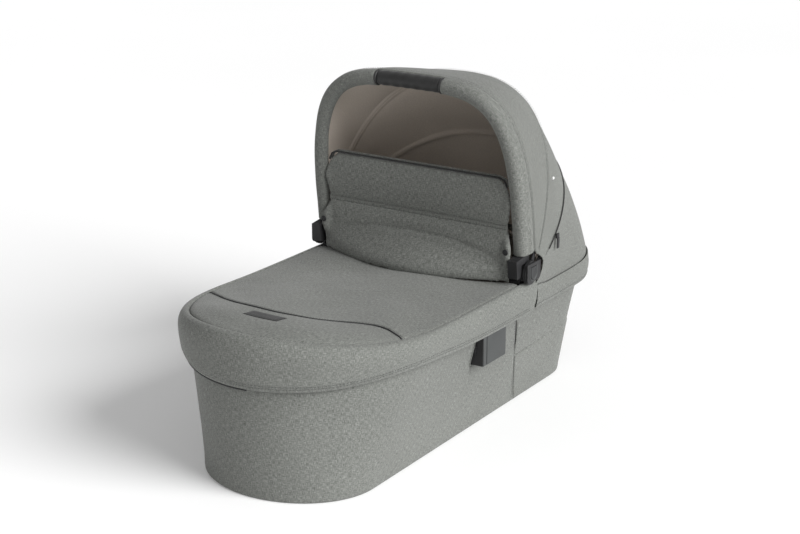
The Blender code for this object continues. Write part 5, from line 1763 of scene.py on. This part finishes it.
@dataclass
class Hardware:
    """Hinges, adapters, bows, tray and feet, which keep the frame's own shapes."""

    wardrobe: Wardrobe

    def hinge_trim(self, name: str, side: float) -> None:
        """The raised U round a hinge's button and the smaller one on it."""
        low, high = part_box(f"hinge_button_{name}")
        outer = max(abs(low.x), abs(high.x))
        centre_y = (low.y + high.y) / 2
        centre_z = (low.z + high.z) / 2
        for label, margin, radius, drop, finish, body in (
            ("cover", 0.0030, 0.0016, 0.0016, GREY, "root"),
            ("button", -0.0034, 0.0008, 0.0002, GREY, f"button_{name}"),
        ):
            half = (high.y - low.y) / 2 + margin
            tall = (high.z - low.z) / 2 + margin * 0.6
            base = centre_z - tall + half
            x, top = side * (outer - drop), centre_z + tall - 0.001
            path = [Vector((x, centre_y - half, top))]
            path += [
                Vector((x, centre_y + half * cos(turn), base + half * sin(turn)))
                for turn in (pi + pi * step / 24 for step in range(25))
            ]
            path.append(Vector((x, centre_y + half, top)))
            item = cord(f"hinge_{label}_ridge_{name}", even(path, 60), radius, 8)
            self.wardrobe.dress(item, finish, body)

    def adapter_caps(self, name: str, side: float) -> None:
        """The two grey caps on the outer face of a chassis adapter."""
        low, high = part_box(f"adapter_{name}")
        face = max(abs(low.x), abs(high.x))
        for label, foot_y, head_y, proud in (
            ("strip", low.y + 0.0004, low.y + 0.0105, 0.0010),
            ("cap", low.y + 0.0118, high.y - 0.0004, 0.0014),
        ):
            low_x, high_x = sorted((side * (face - 0.0012), side * (face + proud)))
            item = block(
                f"adapter_{label}_{name}", (low_x, foot_y, low.z + 0.0006), (high_x, head_y, high.z), 0.0006
            )
            self.wardrobe.dress(item, GREY, "root")

    def build(self) -> None:
        """Dress the frame's nodes and add the hinge and adapter trim."""
        repaint = self.wardrobe.repaint
        repaint("base_tray", BLACK)
        repaint("floor_board", PLY)
        repaint("rim_tube", TUBE, 0.0)
        repaint("front_bow_tube", TUBE, 0.0)
        for bar in ("middle_bow_bar", "rear_bow_bar"):
            repaint(bar, BLACK)
        for name, side in SIDES.items():
            for end in ("foot", "head"):
                repaint(f"pad_{end}_{name}", SOLE)
                repaint(f"stay_{end}_{name}", STEEL, 0.0)
            for part in ("side_frame", "hinge_housing", "hinge_arm", "adapter_latch"):
                repaint(f"{part}_{name}", BLACK)
            repaint(f"adapter_{name}", BLACK)
            repaint(f"hinge_button_{name}", DIM)
            repaint(f"hinge_pin_{name}", STEEL)
            self.hinge_trim(name, side)
            self.adapter_caps(name, side)


@dataclass
class Studio:
    """A pale floor, soft light from the right and the camera."""

    target: Vector = field(default_factory=lambda: Vector((0.008, 0.026, 0.268)))
    azimuth: float = 33.0
    elevation: float = 18.0
    distance: float = 3.12
    lens: float = 80.1
    sun_place: Shade = (3.4, 0.0, 2.2)
    sun_power: float = 4.4
    sun_spread: float = 40.0
    fill_place: Shade = (1.2, -3.4, 1.5)
    fill_size: float = 2.2
    fill_power: float = 17.0
    sky: float = 0.38
    floor_glow: float = 0.10

    def add_camera(self) -> None:
        """Place the camera."""
        turn, rise = radians(self.azimuth), radians(self.elevation)
        back = Vector((sin(turn) * cos(rise), -cos(turn) * cos(rise), sin(rise)))
        data = bpy.data.cameras.new("studio_camera")
        data.lens = self.lens
        camera = bpy.data.objects.new("studio_camera", data)
        camera.location = self.target + back * self.distance
        camera.rotation_euler = (-back).to_track_quat("-Z", "Y").to_euler()
        bpy.context.scene.collection.objects.link(camera)
        bpy.context.scene.camera = camera

    def add_lamp(self, data: bpy.types.Light, place: Sequence[float]) -> None:
        """Place a lamp that faces the target."""
        lamp = bpy.data.objects.new(data.name, data)
        lamp.location = place
        lamp.rotation_euler = (self.target - Vector(place)).to_track_quat("-Z", "Y").to_euler()
        bpy.context.scene.collection.objects.link(lamp)

    def add_lights(self) -> None:
        """Add the broad key light from the right and the soft fill from the front."""
        key = bpy.data.lights.new("key_lamp", "SUN")
        key.energy = self.sun_power
        key.angle = radians(self.sun_spread)
        self.add_lamp(key, self.sun_place)
        fill = bpy.data.lights.new("fill_lamp", "AREA")
        fill.energy = self.fill_power
        fill.size = self.fill_size
        self.add_lamp(fill, self.fill_place)

    def add_floor(self) -> None:
        """Lay the floor and set the pale surroundings."""
        builder = bmesh.new()
        bmesh.ops.create_grid(builder, x_segments=4, y_segments=4, size=14.0)
        floor = add_item("studio_floor", builder)
        board = Board("pale_floor")
        clouds = board.clouds(board.scaled("Object", (1.0, 1.0, 1.0)), 0.6)
        tone = board.ramp(clouds, ((0.3, (0.84, 0.84, 0.84)), (0.7, (0.86, 0.86, 0.86))))
        board.join(tone, board.shader.inputs["Base Color"])
        board.set_shader(Roughness=0.85, Emission_Strength=self.floor_glow)
        board.shader.inputs["Emission Color"].default_value = (1.0, 1.0, 1.0, 1.0)
        floor.data.materials.append(board.material)
        world = bpy.data.worlds.new("pale_room")
        world.use_nodes = True
        background = world.node_tree.nodes["Background"]
        background.inputs[0].default_value = (1.0, 1.0, 1.0, 1.0)
        background.inputs[1].default_value = self.sky
        bpy.context.scene.world = world

    def build(self) -> None:
        """Set up the whole studio."""
        self.add_camera()
        self.add_floor()
        self.add_lights()
        bpy.context.scene.view_settings.view_transform = "Standard"


def main() -> None:
    """Build the studio and every sub-assembly."""
    logging.basicConfig(level=logging.INFO, format="%(name)s %(message)s")
    lines = CotLines()
    wardrobe = Wardrobe()
    hood = Hood(lines, wardrobe)
    Studio().build()
    for part in (
        BodyCover(lines, wardrobe),
        RimBands(lines, wardrobe),
        Apron(lines, wardrobe),
        WindFlap(lines, wardrobe),
        hood,
        FrontBow(hood, wardrobe),
        Bedding(lines, wardrobe),
        Hardware(wardrobe),
    ):
        part.build()
        LOG.info("%s is done", type(part).__name__)


if __name__ == "__main__":
    main()
